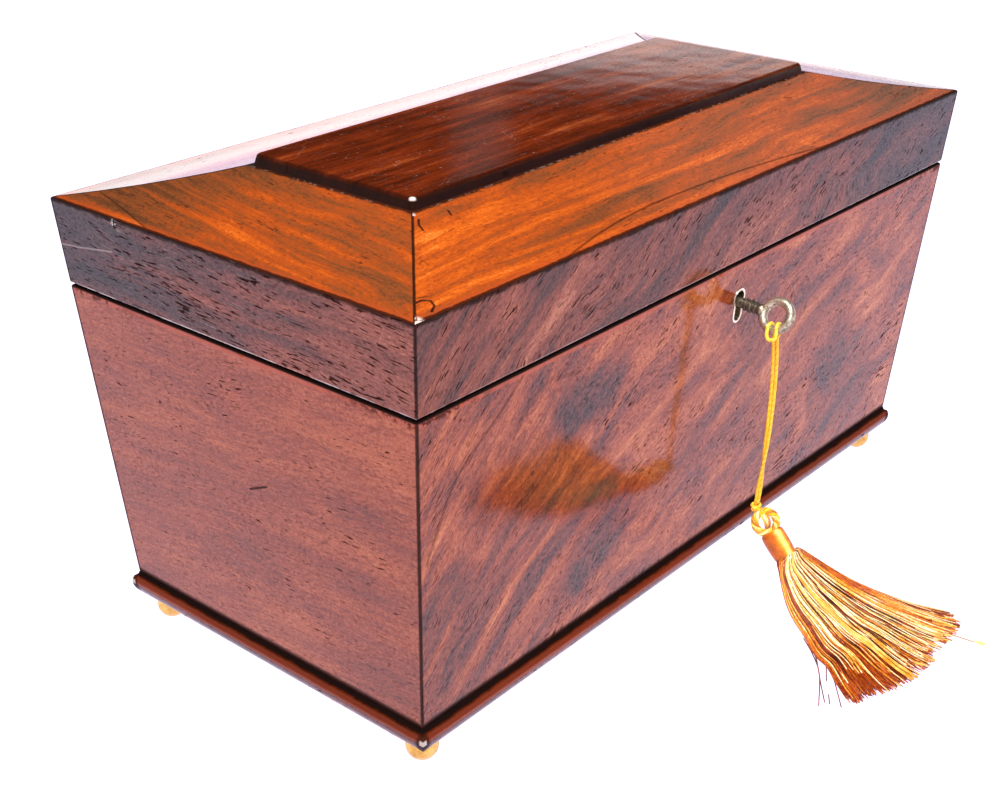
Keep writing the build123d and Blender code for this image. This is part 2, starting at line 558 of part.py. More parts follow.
# skirt: side profile (y, z) cut by its plan outline
end_p = head_p0 + tz * head_len
sk_top = [(end_p.Y, end_p.Z), (-104.6, 23.0), (-107.5, 19.3), (-111.5, 14.6), (-116.5, 10.0), (-122.5, 6.4),
          (-130.0, 4.2), (-142.0, 3.2), (-160.0, 2.6)]
side_v = Vector(0, -0.755, 0.656)
e_up = end_p + side_v * 3.4
e_dn = end_p - side_v * 3.4
profile = [(e_up.Y, e_up.Z), (-107.5, 19.6), (-111.5, 15.0), (-116.5, 10.6), (-122.5, 7.0),
           (-130.0, 4.6), (-142.0, 3.4), (-160.0, 2.6), (-160.5, 0.3), (-121.0, 0.3),
           (-113.0, 3.0), (-107.0, 7.6), (-102.0, 13.4), (e_dn.Y, e_dn.Z)]
plan = [(3.4, -96.0), (3.2, -100.5), (-1.5, -105.5), (-5.6, -111.0), (-8.6, -117.0), (-11.5, -124.0),
        (-15.5, -132.0), (-21.5, -140.5), (-27.5, -147.0), (-27.5, -151.5), (-19.0, -155.0), (-10.0, -158.2),
        (-2.0, -160.2), (12.0, -160.2), (24.0, -159.4), (33.0, -156.8), (39.0, -153.0), (40.5, -149.0),
        (37.0, -141.0), (35.2, -134.0), (33.0, -125.5), (28.5, -117.0), (22.5, -109.5), (17.0, -104.0),
        (11.4, -100.5), (11.2, -96.0)]
skirt = prism_x(profile, 80) & extrude(make_face(Polyline(*plan, close=True)), amount=60)
skirt -= head_frame * (Pos(0, 0, head_len / 2) * Cylinder(6.5, head_len))
keep("tassel_skirt", max(skirt.solids(), key=lambda s: s.volume))

# ---- write -----------------------------------------------------------------------------
lo, hi = [1e9] * 3, [-1e9] * 3
cord_nodes = {"key_cord", "tassel_knot", "tassel_ring", "tassel_head", "tassel_skirt"}
for name, shape in nodes.items():
    export_step(shape, f"parts/{name}.step")
    if name not in cord_nodes:
        bb = shape.bounding_box()
        for i, (a, b) in enumerate(zip((bb.min.X, bb.min.Y, bb.min.Z), (bb.max.X, bb.max.Y, bb.max.Z))):
            lo[i], hi[i] = min(lo[i], a), max(hi[i], b)
print(len(nodes), "pieces; box without the cord", [round(v, 2) for v in lo], [round(v, 2) for v in hi])
print("middle in y", round((lo[1] + hi[1]) / 2, 3), "key axis", lock_frame.origin, lock_frame.z_dir)
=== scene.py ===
import math
import random

import bpy
import numpy as np
from mathutils import Matrix, Vector


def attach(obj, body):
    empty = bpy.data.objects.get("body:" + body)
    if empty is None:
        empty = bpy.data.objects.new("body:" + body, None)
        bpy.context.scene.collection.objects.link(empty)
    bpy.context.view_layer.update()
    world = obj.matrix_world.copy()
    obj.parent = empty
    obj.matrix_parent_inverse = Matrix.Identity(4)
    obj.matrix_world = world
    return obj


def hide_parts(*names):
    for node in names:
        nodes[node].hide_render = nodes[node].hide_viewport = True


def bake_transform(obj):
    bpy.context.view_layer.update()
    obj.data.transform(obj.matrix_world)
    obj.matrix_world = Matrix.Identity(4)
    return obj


# Antique tea caddy: the finish of its veneers, brass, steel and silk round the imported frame.
# Metres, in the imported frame. Lengths written in millimetres carry MM or pass through mm().

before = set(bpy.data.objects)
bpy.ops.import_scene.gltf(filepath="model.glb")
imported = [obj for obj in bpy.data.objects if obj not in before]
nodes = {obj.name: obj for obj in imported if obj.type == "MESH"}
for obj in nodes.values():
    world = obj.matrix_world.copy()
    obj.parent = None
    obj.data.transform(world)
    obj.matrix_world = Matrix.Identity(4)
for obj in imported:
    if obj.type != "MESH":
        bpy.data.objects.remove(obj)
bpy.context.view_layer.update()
MM = 0.001
FLOOR_GLOW = 1.52
SHIFT = 8.25          # the part's own middle lies this far behind the frame's origin line


def mm(p):
    """A point of the part's own frame, in millimetres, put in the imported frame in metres."""
    return Vector((p[0] * MM, (p[1] + SHIFT) * MM, p[2] * MM))


# ---- camera ---------------------------------------------------------------------------
yaw, pitch, roll = math.radians(49.7777), math.radians(25.8539), math.radians(0.2622)
fw = Vector((math.sin(yaw) * math.cos(pitch), math.cos(yaw) * math.cos(pitch), -math.sin(pitch)))
rt0 = Vector((math.cos(yaw), -math.sin(yaw), 0))
up0 = rt0.cross(fw)
rt = rt0 * math.cos(roll) + up0 * math.sin(roll)
up = up0 * math.cos(roll) - rt0 * math.sin(roll)
cam = bpy.data.objects.new("camera", bpy.data.cameras.new("camera"))
bpy.context.scene.collection.objects.link(cam)
cam.data.sensor_width, cam.data.lens = 36.0, 55.110
cam.data.clip_start, cam.data.clip_end = 0.01, 50
cam.matrix_world = Matrix((
    (rt.x, up.x, -fw.x, -0.411437), (rt.y, up.y, -fw.y, -0.314693), (rt.z, up.z, -fw.z, 0.306364), (0, 0, 0, 1)))
bpy.context.scene.camera = cam
bpy.context.scene.view_settings.view_transform = "Standard"
bpy.context.scene.view_settings.look = "None"


# ---- node graphs ------------------------------------------------------------------------
class Graph:
    """A material's nodes, with short calls for the ones used here."""

    def __init__(self, name):
        self.mat = bpy.data.materials.new(name)
        self.mat.use_nodes = True
        self.nt = self.mat.node_tree
        self.nt.nodes.clear()
        self.out = self.nt.nodes.new("ShaderNodeOutputMaterial")

    def node(self, kind, links=None, **props):
        n = self.nt.nodes.new(kind)
        for k, v in props.items():
            setattr(n, k, v)
        for k, v in (links or {}).items():
            self.put(n.inputs[k], v)
        return n

    def put(self, socket, v):
        if hasattr(v, "links") or hasattr(v, "is_output"):
            self.nt.links.new(v, socket)
        else:
            socket.default_value = v

    def m(self, op, a, b=0.0, c=0.0, clamp=False):
        n = self.nt.nodes.new("ShaderNodeMath")
        n.operation, n.use_clamp = op, clamp
        for s, v in zip(n.inputs, (a, b, c)):
            self.put(s, v)
        return n.outputs[0]

    def add(self, *v):
        r = v[0]
        for x in v[1:]:
            r = self.m("ADD", r, x)
        return r

    def mul(self, *v):
        r = v[0]
        for x in v[1:]:
            r = self.m("MULTIPLY", r, x)
        return r

    def sub(self, a, b):
        return self.m("SUBTRACT", a, b)

    def step(self, x, lo, hi, smooth=True):
        """0 below lo, 1 above hi; lo may be the larger of the two."""
        n = self.nt.nodes.new("ShaderNodeMapRange")
        n.interpolation_type = "SMOOTHSTEP" if smooth else "LINEAR"
        n.clamp = True
        a, b, t0, t1 = (lo, hi, 0.0, 1.0) if lo < hi else (hi, lo, 1.0, 0.0)
        for k, v in (("Value", x), ("From Min", a), ("From Max", b), ("To Min", t0), ("To Max", t1)):
            self.put(n.inputs[k], v)
        return n.outputs[0]

    def line(self, d, width, soft):
        """1 where |d| is under width, fading out over soft."""
        return self.step(self.m("ABSOLUTE", d), width + soft, width)

    def part(self):
        """x, y, z in the part's own millimetres."""
        tc = self.node("ShaderNodeTexCoord")
        sc = self.node("ShaderNodeVectorMath", operation="SCALE", links={0: tc.outputs["Object"], "Scale": 1000.0})
        sh = self.node("ShaderNodeVectorMath", operation="SUBTRACT", links={0: sc.outputs[0], 1: (0.0, SHIFT, 0.0)})
        s = self.node("ShaderNodeSeparateXYZ", links={0: sh.outputs[0]})
        return s.outputs[0], s.outputs[1], s.outputs[2]

    def vec(self, x, y, z=0.0):
        return self.node("ShaderNodeCombineXYZ", links={0: x, 1: y, 2: z}).outputs[0]

    def noise(self, u, v, w=0.0, su=1.0, sv=1.0, sw=1.0, detail=2.0, rough=0.5, dist=0.0, seed=0.0):
        """Noise whose features are about su x sv x sw millimetres."""
        vec = self.vec(self.m("MULTIPLY_ADD", u, 1 / su, seed * 7.31), self.m("MULTIPLY_ADD", v, 1 / sv, seed * 3.17),
                       self.m("MULTIPLY_ADD", w, 1 / sw, seed * 5.7))
        n = self.node("ShaderNodeTexNoise", links={"Vector": vec, "Scale": 1.0, "Detail": detail, "Roughness": rough,
                                                  "Distortion": dist})
        return n.outputs[0]

    def mix(self, f, a, b, mode="MIX"):
        n = self.nt.nodes.new("ShaderNodeMix")
        n.data_type, n.blend_type, n.clamp_factor = "RGBA", mode, True
        self.put(n.inputs[0], f)
        self.put(n.inputs[6], a if not isinstance(a, tuple) else (*a, 1.0))
        self.put(n.inputs[7], b if not isinstance(b, tuple) else (*b, 1.0))
        return n.outputs[2]

    def mixf(self, f, a, b):
        n = self.nt.nodes.new("ShaderNodeMix")
        n.data_type = "FLOAT"
        self.put(n.inputs[0], f)
        self.put(n.inputs[2], a)
        self.put(n.inputs[3], b)
        return n.outputs[0]

    def ramp(self, f, stops, interp="LINEAR"):
        n = self.nt.nodes.new("ShaderNodeValToRGB")
        cr = n.color_ramp
        cr.interpolation = interp
        while len(cr.elements) < len(stops):
            cr.elements.new(0.5)
        for e, (p, c) in zip(cr.elements, stops):
            e.position = p
            e.color = (*c, 1.0)
        self.put(n.inputs[0], f)
        return n.outputs[0]

    def bump(self, height, distance, strength=1.0, normal=None):
        """Relief of a height field in millimetres times distance."""
        links = {"Strength": strength, "Distance": distance * MM, "Height": height}
        if normal is not None:
            links["Normal"] = normal
        return self.node("ShaderNodeBump", links=links).outputs[0]

    def shade(self, color, rough=0.4, **more):
        n = self.nt.nodes.new("ShaderNodeBsdfPrincipled")
        self.put(n.inputs["Base Color"], color if not isinstance(color, tuple) else (*color, 1.0))
        self.put(n.inputs["Roughness"], rough)
        for k, v in more.items():
            self.put(n.inputs[k.replace("_", " ")], v)
        self.nt.links.new(n.outputs[0], self.out.inputs[0])
        return self.mat


def half(g, base, z):
    """Half size of the flared outside at height z, as nodes."""
    return g.m("MULTIPLY_ADD", g.sub(z, 126.4), 0.0733, base)


# ---- wood ---------------------------------------------------------------------------------
# the pale floor is mirrored in the polish, so the tones here are the bare reds and browns under it
BODY_TONES = [(0.0, (0.030, 0.009, 0.007)), (0.25, (0.115, 0.022, 0.010)), (0.5, (0.235, 0.040, 0.010)),
              (0.75, (0.37, 0.085, 0.021)), (1.0, (0.52, 0.17, 0.055))]
LID_SIDE_TONES = [(0.0, (0.010, 0.005, 0.003)), (0.3, (0.060, 0.014, 0.006)), (0.55, (0.145, 0.028, 0.010)),
                  (0.8, (0.24, 0.055, 0.022)), (1.0, (0.36, 0.12, 0.060))]
SLOPE_TONES = [(0.0, (0.085, 0.030, 0.012)), (0.25, (0.175, 0.046, 0.013)), (0.5, (0.31, 0.052, 0.008)),
               (0.75, (0.48, 0.088, 0.008)), (1.0, (0.76, 0.21, 0.035))]
PANEL_TONES = [(0.0, (0.012, 0.003, 0.001)), (0.35, (0.065, 0.009, 0.002)), (0.65, (0.135, 0.017, 0.003)),
               (1.0, (0.30, 0.070, 0.018))]
MOULD_TONES = [(0.0, (0.014, 0.003, 0.002)), (0.5, (0.070, 0.008, 0.003)), (1.0, (0.20, 0.028, 0.008))]
INNER_TONES = [(0.0, (0.10, 0.032, 0.014)), (0.5, (0.22, 0.080, 0.032)), (1.0, (0.36, 0.15, 0.062))]
PINE_TONES = [(0.0, (0.28, 0.16, 0.07)), (0.5, (0.46, 0.29, 0.14)), (1.0, (0.60, 0.42, 0.22))]


def wood(g, u, v, w, tones, band=(80.0, 7.0), contrast=1.0, pore=0.5, pore_tone=(0.012, 0.004, 0.003), seed=1.0,
         bias=0.0, lift=None, coat=0.78, coat_rough=0.115, dark=None, pale=None, pale_tone=(0.55, 0.46, 0.42), red=None,
         rough=0.5, pore_size=(4.4, 0.66), grit=1.0, cloud=0.0, spec=0.0):
    """Polished veneer. u runs along the grain and v across it, in millimetres. lift shifts the tone, in places with
    painted shade and light falloff; dark, red and pale are 0 to 1 masks of grime and dark joints (in places painted
    shade in gaps), bared wood, and dust or rubbed polish (in places painted highlights)."""
    broad = g.noise(u, v, w, band[0], band[1], 60, 3.0, 0.55, 0.6, seed)
    narrow = g.noise(u, v, w, band[0] * 0.40, band[1] * 0.30, 40, 3.0, 0.6, 0.3, seed + 11)
    fine = g.noise(u, v, w, 11.0, 0.95, 9, 3.0, 0.6, 0.0, seed + 23)
    fibre = g.noise(u, v, w, 2.8, 0.50, 3, 2.0, 0.65, 0.0, seed + 31)
    speck = g.noise(u, v, w, 1.1, 0.85, 2, 2.0, 0.75, 0.0, seed + 37)
    t = g.add(g.mul(g.sub(broad, 0.5), 1.9 * contrast), g.mul(g.sub(narrow, 0.5), 0.95 * contrast),
              g.mul(g.sub(fine, 0.5), 0.40), g.mul(g.sub(fibre, 0.5), 0.50 * grit), g.mul(g.sub(speck, 0.5), 0.75 * grit),
              0.5 + bias)
    if cloud:
        t = g.add(t, g.mul(g.sub(g.noise(u, v, w, 52, 25, 40, 3.0, 0.6, 1.4, seed + 71), 0.5), 1.7 * cloud))
    if lift is not None:
        t = g.add(t, lift)
    color = g.ramp(t, tones)
    # open pores: short dark dashes along the grain, in drifts, and dark grains between them
    cells = g.noise(u, v, w, pore_size[0], pore_size[1], 6, 1.0, 0.4, 0.0, seed + 41)
    drift = g.noise(u, v, w, 38.0, 17.0, 50, 2.0, 0.5, 0.0, seed + 53)
    threshold = g.m("MULTIPLY_ADD", g.sub(drift, 0.5), -0.34, 0.79 - 0.17 * pore)
    hole = g.step(g.sub(cells, threshold), 0.0, 0.045)
    spot = g.step(g.noise(u, v, w, 1.9, 0.95, 2.5, 1.0, 0.5, 0.0, seed + 47), 0.60, 0.71)
    color = g.mix(g.mul(spot, 0.42 * grit), color, pore_tone)
    color = g.mix(g.mul(hole, 0.85), color, pore_tone)
    if red is not None:
        color = g.mix(red, color, (0.34, 0.050, 0.010))
    if dark is not None:
        color = g.mix(dark, color, (0.009, 0.004, 0.003))
    if pale is not None:
        color = g.mix(pale, color, pale_tone)
    # skin of the polish: slight swell, grain telegraphing through, pores not quite filled
    x, y, z = g.part()
    swell = g.noise(x, y, z, 16, 16, 16, 1.0, 0.5, 0.0, seed + 61)
    relief = g.add(g.mul(fine, 0.10), g.mul(fibre, 0.07), g.mul(hole, -0.35), g.mul(spot, -0.10))
    normal = g.bump(relief, 0.06)
    skin = g.bump(g.add(g.mul(swell, 1.6), g.mul(speck, 0.10), g.mul(relief, 0.5)), 0.06)
    r = g.m("MULTIPLY_ADD", hole, 0.2, g.m("MULTIPLY_ADD", fine, 0.1, rough))
    gloss = g.add(1.0, g.mul(g.sub(speck, 0.5), 1.5 * grit), g.mul(g.sub(fibre, 0.5), 0.5 * grit), g.mul(hole, -0.9),
                  g.mul(spot, -0.40 * grit))
    if dark is not None:
        gloss = g.mul(gloss, g.m("MULTIPLY_ADD", dark, -0.9, 1.0))
    gloss = g.m("MULTIPLY", gloss, coat, clamp=True)
    return g.shade(color, r, Specular_IOR_Level=spec, Normal=normal, Coat_Weight=gloss, Coat_Roughness=coat_rough,
                   Coat_IOR=1.5, Coat_Normal=skin)


def coat_it(name, mat, bevel=0.0):
    """Give a CAD node its finish, and soften its sharp arrises if bevel is set (millimetres)."""
    o = nodes[name]
    if not o.material_slots:
        o.data.materials.append(mat)
    for s in o.material_slots:
        s.material = mat
    if bevel:
        w = o.modifiers.new("weld", "WELD")
        w.merge_threshold = 2e-6
        b = o.modifiers.new("arris", "BEVEL")
        b.width, b.segments, b.limit_method, b.angle_limit = bevel * MM, 2, "ANGLE", math.radians(28)
        b.miter_outer = "MITER_ARC"
        n = o.modifiers.new("normals", "WEIGHTED_NORMAL")
        n.keep_sharp = False
        n.weight = 90


def top(g, *masks):
    r = masks[0]
    for k in masks[1:]:
        r = g.m("MAXIMUM", r, k)
    return r


def spot_at(g, a, b, ca, cb, radius, soft):
    """1 inside a round spot of the surface coordinates a, b."""
    da, db = g.sub(a, ca), g.sub(b, cb)
    return g.step(g.m("SQRT", g.add(g.mul(da, da), g.mul(db, db))), radius + soft, radius)


def strokes(g, a, b, pts, width, soft):
    """1 near a broken line through pts."""
    out = None
    for (pa, pb), (qa, qb) in zip(pts, pts[1:]):
        da, db = qa - pa, qb - pb
        ra, rb = g.sub(a, pa), g.sub(b, pb)
        k = g.m("MULTIPLY", g.add(g.mul(ra, da), g.mul(rb, db)), 1 / (da * da + db * db), clamp=True)
        ea, eb = g.sub(ra, g.mul(k, da)), g.sub(rb, g.mul(k, db))
        s = g.step(g.m("SQRT", g.add(g.mul(ea, ea), g.mul(eb, eb))), width + soft, width)
        out = s if out is None else g.m("MAXIMUM", out, s)
    return out


def ragged(g, x, y, z, size, seed, lo=0.42, hi=0.58):
    return g.step(g.noise(x, y, z, size, size, size, 3.0, 0.65, 0.0, seed), lo, hi)


def front_wood(g, back=False):
    x, y, z = g.part()
    if back:
        x = g.mul(x, -1.0)
    # the figure sweeps up from the lower left and lays over to the right
    s = g.add(x, 158.0)
    sweep = g.add(g.mul(g.sub(1.0, g.m("EXPONENT", g.mul(s, -1 / 58.0))), 62.0), g.mul(s, 0.40))
    wander = g.mul(g.sub(g.noise(x, z, 0.0, 80, 50, 50, 2.0, 0.5, 0.6, 3.3 + back), 0.5), 24.0)
    v = g.mul(g.add(g.sub(z, sweep), wander), 0.86)
    u = g.add(g.mul(s, 1.05), g.mul(z, 0.42))
    return x, y, z, u, v


def body_edges(g, x, y, z, across, seed):
    """Grime in the corners, darker at the foot by the moulding, painted shade in the gap under the lid, and the bared
    edge below the joint.
    """
    chip = g.mul(ragged(g, x, y, z, 2.4, seed, 0.46, 0.54), g.step(z, 122.9, 124.4), g.step(across, 46.0, 8.0))
    depth = g.m("MINIMUM", g.sub(half(g, 152.5, z), g.m("ABSOLUTE", x)), g.sub(half(g, 75.45, z), g.m("ABSOLUTE", y)))
    outside = g.step(depth, 2.6, 1.0)
    # painted shade: the top of the body is painted dark where the gap under the lid is in shade, most at the outside
    gap = g.mul(g.step(z, 124.9, 125.6), g.m("MULTIPLY_ADD", outside, 0.75, 0.25))
    rag = g.mul(g.sub(g.noise(x, y, z, 3.0, 3.0, 3.0, 2.0, 0.6, 0.0, seed + 2), 0.5), 1.8)
    dark = top(g, g.mul(g.step(across, 1.15, 0.35), 0.9), g.mul(g.step(z, 20.8, 18.8), 0.95), gap, g.mul(chip, 0.8))
    red = g.mul(g.step(g.add(z, rag), 123.3, 124.5), outside, 0.90)
    return dark, red


def make_front_panel():
    g = Graph("mahogany_front")
    x, y, z, u, v = front_wood(g)
    across = g.sub(half(g, 152.5, z), g.m("ABSOLUTE", x))
    dark, red = body_edges(g, x, y, z, across, 2.5)
    # thin dark veins and an oval of quieter, darker wood at the left of the figure
    vein = strokes(g, x, z, [(-146, 78), (-139.6, 94), (-135.6, 101.4), (-129.7, 107), (-119.7, 114.3), (-108.5, 124.1)], 0.25, 0.7)
    arc = strokes(g, x, z, [(-112, 100), (-108.3, 109.8), (-104.3, 114.9), (-95.5, 118.2), (-81, 115.6)], 0.3, 1.0)
    dark = top(g, dark, g.mul(vein, 0.42), g.mul(arc, 0.22))
    oval = g.mul(spot_at(g, g.mul(g.add(x, 72.0), 0.62), g.sub(z, 104.0), 0.0, 0.0, 4.0, 12.0), -0.34)
    lower = g.mul(spot_at(g, g.mul(g.add(x, 132.0), 1.0), g.mul(g.sub(z, 36.0), 0.55), 0.0, 0.0, 4.0, 16.0), -0.16)
    right = g.mul(spot_at(g, g.mul(g.sub(x, 92.0), 0.5), g.sub(z, 62.0), 0.0, 0.0, 2.0, 18.0), -0.32)
    return wood(g, u, v, y, BODY_TONES, coat=0.86, band=(80, 11), contrast=0.50, pore=0.62, seed=2.0, dark=dark, red=red,
                cloud=0.85, lift=g.add(oval, lower, right))


def make_back_panel():
    g = Graph("mahogany_back")
    x, y, z, u, v = front_wood(g, back=True)
    across = g.sub(half(g, 152.5, z), g.m("ABSOLUTE", x))
    dark, red = body_edges(g, x, y, z, across, 5.5)
    return wood(g, u, v, y, BODY_TONES, band=(80, 11), contrast=0.50, pore=0.55, seed=5.0, dark=dark, red=red, cloud=0.75)


def make_end_panel(name, sign, seed):
    g = Graph(name)
    x, y, z = g.part()
    # quiet straight grain, falling gently towards the front
    wander = g.mul(g.sub(g.noise(y, z, 0.0, 80, 45, 50, 1.0, 0.5, 0.0, seed + 0.7), 0.5), 10.0)
    v = g.add(z, g.mul(y, 0.10), wander)
    u = g.sub(y, g.mul(z, 0.12))
    across = g.sub(half(g, 75.45, z), g.m("ABSOLUTE", y))
    dark, red = body_edges(g, x, y, z, across, seed + 0.5)
    if sign < 0:
        marks = top(g, strokes(g, y, z, [(-1.3, 77.9), (-9.3, 81.6)], 0.15, 0.5), spot_at(g, y, z, 5.5, 111.4, 0.3, 0.5),
                    spot_at(g, y, z, 37.9, 95.4, 0.3, 0.5))
        dark = top(g, dark, g.mul(marks, 0.85))
    return wood(g, u, v, x, BODY_TONES, coat=0.86, band=(110, 13), contrast=0.24, pore=0.40, seed=seed, bias=0.02, dark=dark,
                red=red, cloud=0.26, grit=0.8)


def lid_edges(g, x, y, z, across, seed, glint):
    """Dark arris under the slope, dark corner, painted shade of the joint gap at the foot, and a painted highlight on
    the lower arris where it catches the light.
    """
    rag = g.mul(g.sub(g.noise(x, y, z, 5.0, 5.0, 5.0, 3.0, 0.6, 0.0, seed), 0.5), 2.4)
    # the band below z 126.75 is painted shade of the joint gap
    dark = top(g, g.mul(g.step(across, 1.0, 0.3), 0.9), g.mul(g.step(g.add(z, rag), 153.5, 154.7), 0.85),
               g.mul(g.step(z, 126.75, 126.45), 0.9))
    # painted highlight: a pale line along the lower arris
    pale = g.mul(g.line(g.sub(z, 127.05), 0.18, 0.25), ragged(g, x, y, z, 9.0, seed + 4, 0.36, 0.60), glint)
    return dark, pale


def make_lid_long(name, sign, seed):
    g = Graph(name)
    x, y, z = g.part()
    if sign > 0:
        x = g.mul(x, -1.0)
    s = g.add(x, 158.0)
    sweep = g.add(g.mul(g.sub(1.0, g.m("EXPONENT", g.mul(s, -1 / 70.0))), 58.0), g.mul(s, 0.46))
    wander = g.mul(g.sub(g.noise(x, z, 0.0, 70, 34, 50, 2.0, 0.5, 0.5, seed), 0.5), 20.0)
    v = g.mul(g.add(g.sub(z, sweep), wander), 0.84)
    u = g.add(g.mul(s, 1.08), g.mul(z, 0.42))
    across = g.sub(half(g, 152.5, z), g.m("ABSOLUTE", x))
    dark, pale = lid_edges(g, x, y, z, across, seed + 0.5, 0.35)
    # painted shade: the board is darkened towards its far end and at the top, as if the light falls off
    far = g.add(g.mul(g.step(x, 10.0, 150.0), -0.42), g.mul(g.step(z, 143.0, 156.0), -0.10))
    return wood(g, u, v, y, LID_SIDE_TONES, band=(90, 9), contrast=0.62, pore=0.75, seed=seed, lift=far, dark=dark, pale=pale,
                bias=0.05, cloud=0.6, grit=0.85)


def make_lid_end(name, sign, seed):
    g = Graph(name)
    x, y, z = g.part()
    wander = g.mul(g.sub(g.noise(y, z, 0.0, 60, 25, 50, 1.0, 0.5, 0.0, seed + 0.3), 0.5), 9.0)
    v = g.add(z, g.mul(y, -0.05), wander)
    u = y
    across = g.sub(half(g, 75.45, z), g.m("ABSOLUTE", y))
    dark, pale = lid_edges(g, x, y, z, across, seed + 0.5, 0.9)
    # painted shade and light: darkened towards the back and at the top, lightened towards the front, as if the light
    # falls off
    far = g.add(g.mul(g.step(y, -30.0, 70.0), -0.44), g.mul(g.step(z, 140.0, 156.0), -0.12), g.mul(g.step(y, -20.0, -74.0), 0.10))
    if sign < 0:
        # an old nick and a scratch near the far corner
        nick = strokes(g, y, z, [(45.4, 155.2), (46.0, 152.6)], 0.7, 0.5)
        chips = g.mul(spot_at(g, y, z, 46.2, 153.6, 0.6, 1.2), ragged(g, x, y, z, 0.9, 3.0, 0.5, 0.58))
        scratch = strokes(g, y, z, [(77.0, 139.8), (66.0, 141.0), (55.7, 142.7), (49.5, 143.6)], 0.10, 0.32)
        rubbed = g.mul(g.step(g.noise(u, v, x, 9.0, 0.55, 6, 2.0, 0.5, 0.0, seed + 81), 0.64, 0.74),
                       g.step(y, -40.0, 10.0), g.step(y, 62.0, 40.0))
        dark = top(g, dark, g.mul(nick, 0.9))
        pale = top(g, pale, chips, g.mul(scratch, 0.30), g.mul(rubbed, 0.20))
    return wood(g, u, v, x, LID_SIDE_TONES, coat=0.88, band=(90, 6), contrast=0.42, pore=0.95, seed=seed, lift=far, dark=dark,
                pale=pale, bias=0.06, cloud=0.4, grit=0.9)


def slope_edges(g, x, y, z, mitre, inner, outer, seed):
    """Dark line in the mitre, darker at the raised panel's foot, with a line of dust, and the dark red outer arris."""
    rag = g.mul(g.sub(g.noise(x, y, z, 3.5, 3.5, 3.5, 3.0, 0.6, 0.0, seed), 0.5), 1.6)
    foot = g.step(g.add(inner, rag), 1.7, 0.7)
    dark = top(g, g.mul(g.line(mitre, 0.35, 0.5), 0.92), g.mul(foot, 0.92), g.mul(g.step(g.add(outer, g.mul(rag, 0.8)), 1.5, 0.85), 0.88))
    red = g.mul(g.step(g.add(outer, g.mul(rag, 1.6)), 3.6, 1.4), 0.65)
    dust = g.mul(g.line(g.sub(inner, 0.75), 0.14, 0.22), ragged(g, x, y, z, 1.8, seed + 3, 0.50, 0.62), 0.16)
    return dark, red, dust


def make_slope_long(name, sign, seed):
    g = Graph(name)
    x, y, z = g.part()
    if sign > 0:
        x, y = g.mul(x, -1.0), g.mul(y, -1.0)
    # long ribbons that lift away from the front edge
    rise = g.mul(x, 0.045)
    wander = g.mul(g.sub(g.noise(x, y, 0.0, 90, 40, 50, 2.0, 0.5, 0.5, seed), 0.5), 18.0)
    v = g.add(g.sub(y, rise), wander)
    u = x
    inner = g.mul(g.add(y, 34.7), -1.0)
    outer = g.add(y, 77.6)
    mitre = g.sub(g.sub(109.7, g.m("ABSOLUTE", x)), g.mul(g.add(y, 34.7), 1.0468))
    dark, red, dust = slope_edges(g, x, y, z, mitre, inner, outer, seed + 0.5)
    # painted shade and light: darker towards the far end, lighter towards the near end
    far = g.mul(g.step(x, 20.0, 150.0), -0.13)
    lift = g.add(far, g.mul(g.step(x, -80.0, -140.0), 0.10))
    if sign < 0:
        # a thin arched vein, and small dark curls in the figure by the mitre
        d = g.add(x, 36.0)
        lo, hi = g.mul(g.m("MAXIMUM", g.mul(d, -1.0), 0.0), 1 / 61.0), g.mul(g.m("MAXIMUM", d, 0.0), 1 / 75.0)
        arch = g.sub(g.sub(-69.7, g.mul(lo, lo, 8.9)), g.mul(hi, hi, 5.1))
        vein = g.mul(g.line(g.sub(y, arch), 0.22, 0.45), 0.62)
        curls = top(g, strokes(g, x, y, [(-111.3, -38.6), (-113.4, -40.6), (-114.6, -43.4)], 0.18, 0.40),
                    strokes(g, x, y, [(-146.4, -69.7), (-143.6, -69.6), (-141.8, -71.2), (-143.0, -73.6), (-146.0, -75.4)], 0.20, 0.40),
                    g.mul(strokes(g, x, y, [(-129.6, -55.9), (-127.0, -54.6), (-127.6, -57.4)], 0.12, 0.35), 0.5),
                    g.mul(strokes(g, x, y, [(-144.5, -67.8), (-140.5, -68.9)], 0.12, 0.35), 0.6),
                    strokes(g, x, y, [(-99.6, -39.2), (-100.7, -41.4)], 0.18, 0.35))
        dark = top(g, dark, vein, g.mul(curls, 0.9))
        # painted highlight: a pale glint at the lid's near corner, merged into the dust mask
        wear_and_glint = g.mul(spot_at(g, x, y, -153.4, -76.1, 1.7, 1.7), ragged(g, x, y, z, 1.1, 7.0, 0.40, 0.50))
        dust = top(g, dust, wear_and_glint, g.mul(spot_at(g, x, y, -110.8, -36.0, 0.3, 0.7), 0.8))
    return wood(g, u, v, z, SLOPE_TONES, coat=0.78 if sign < 0 else 1.0, band=(110, 7.5), contrast=0.66, pore=0.42, seed=seed, lift=lift, dark=dark, red=red,
                pale=dust, pore_tone=(0.06, 0.012, 0.005), cloud=0.35, grit=0.9 if sign < 0 else 0.25)


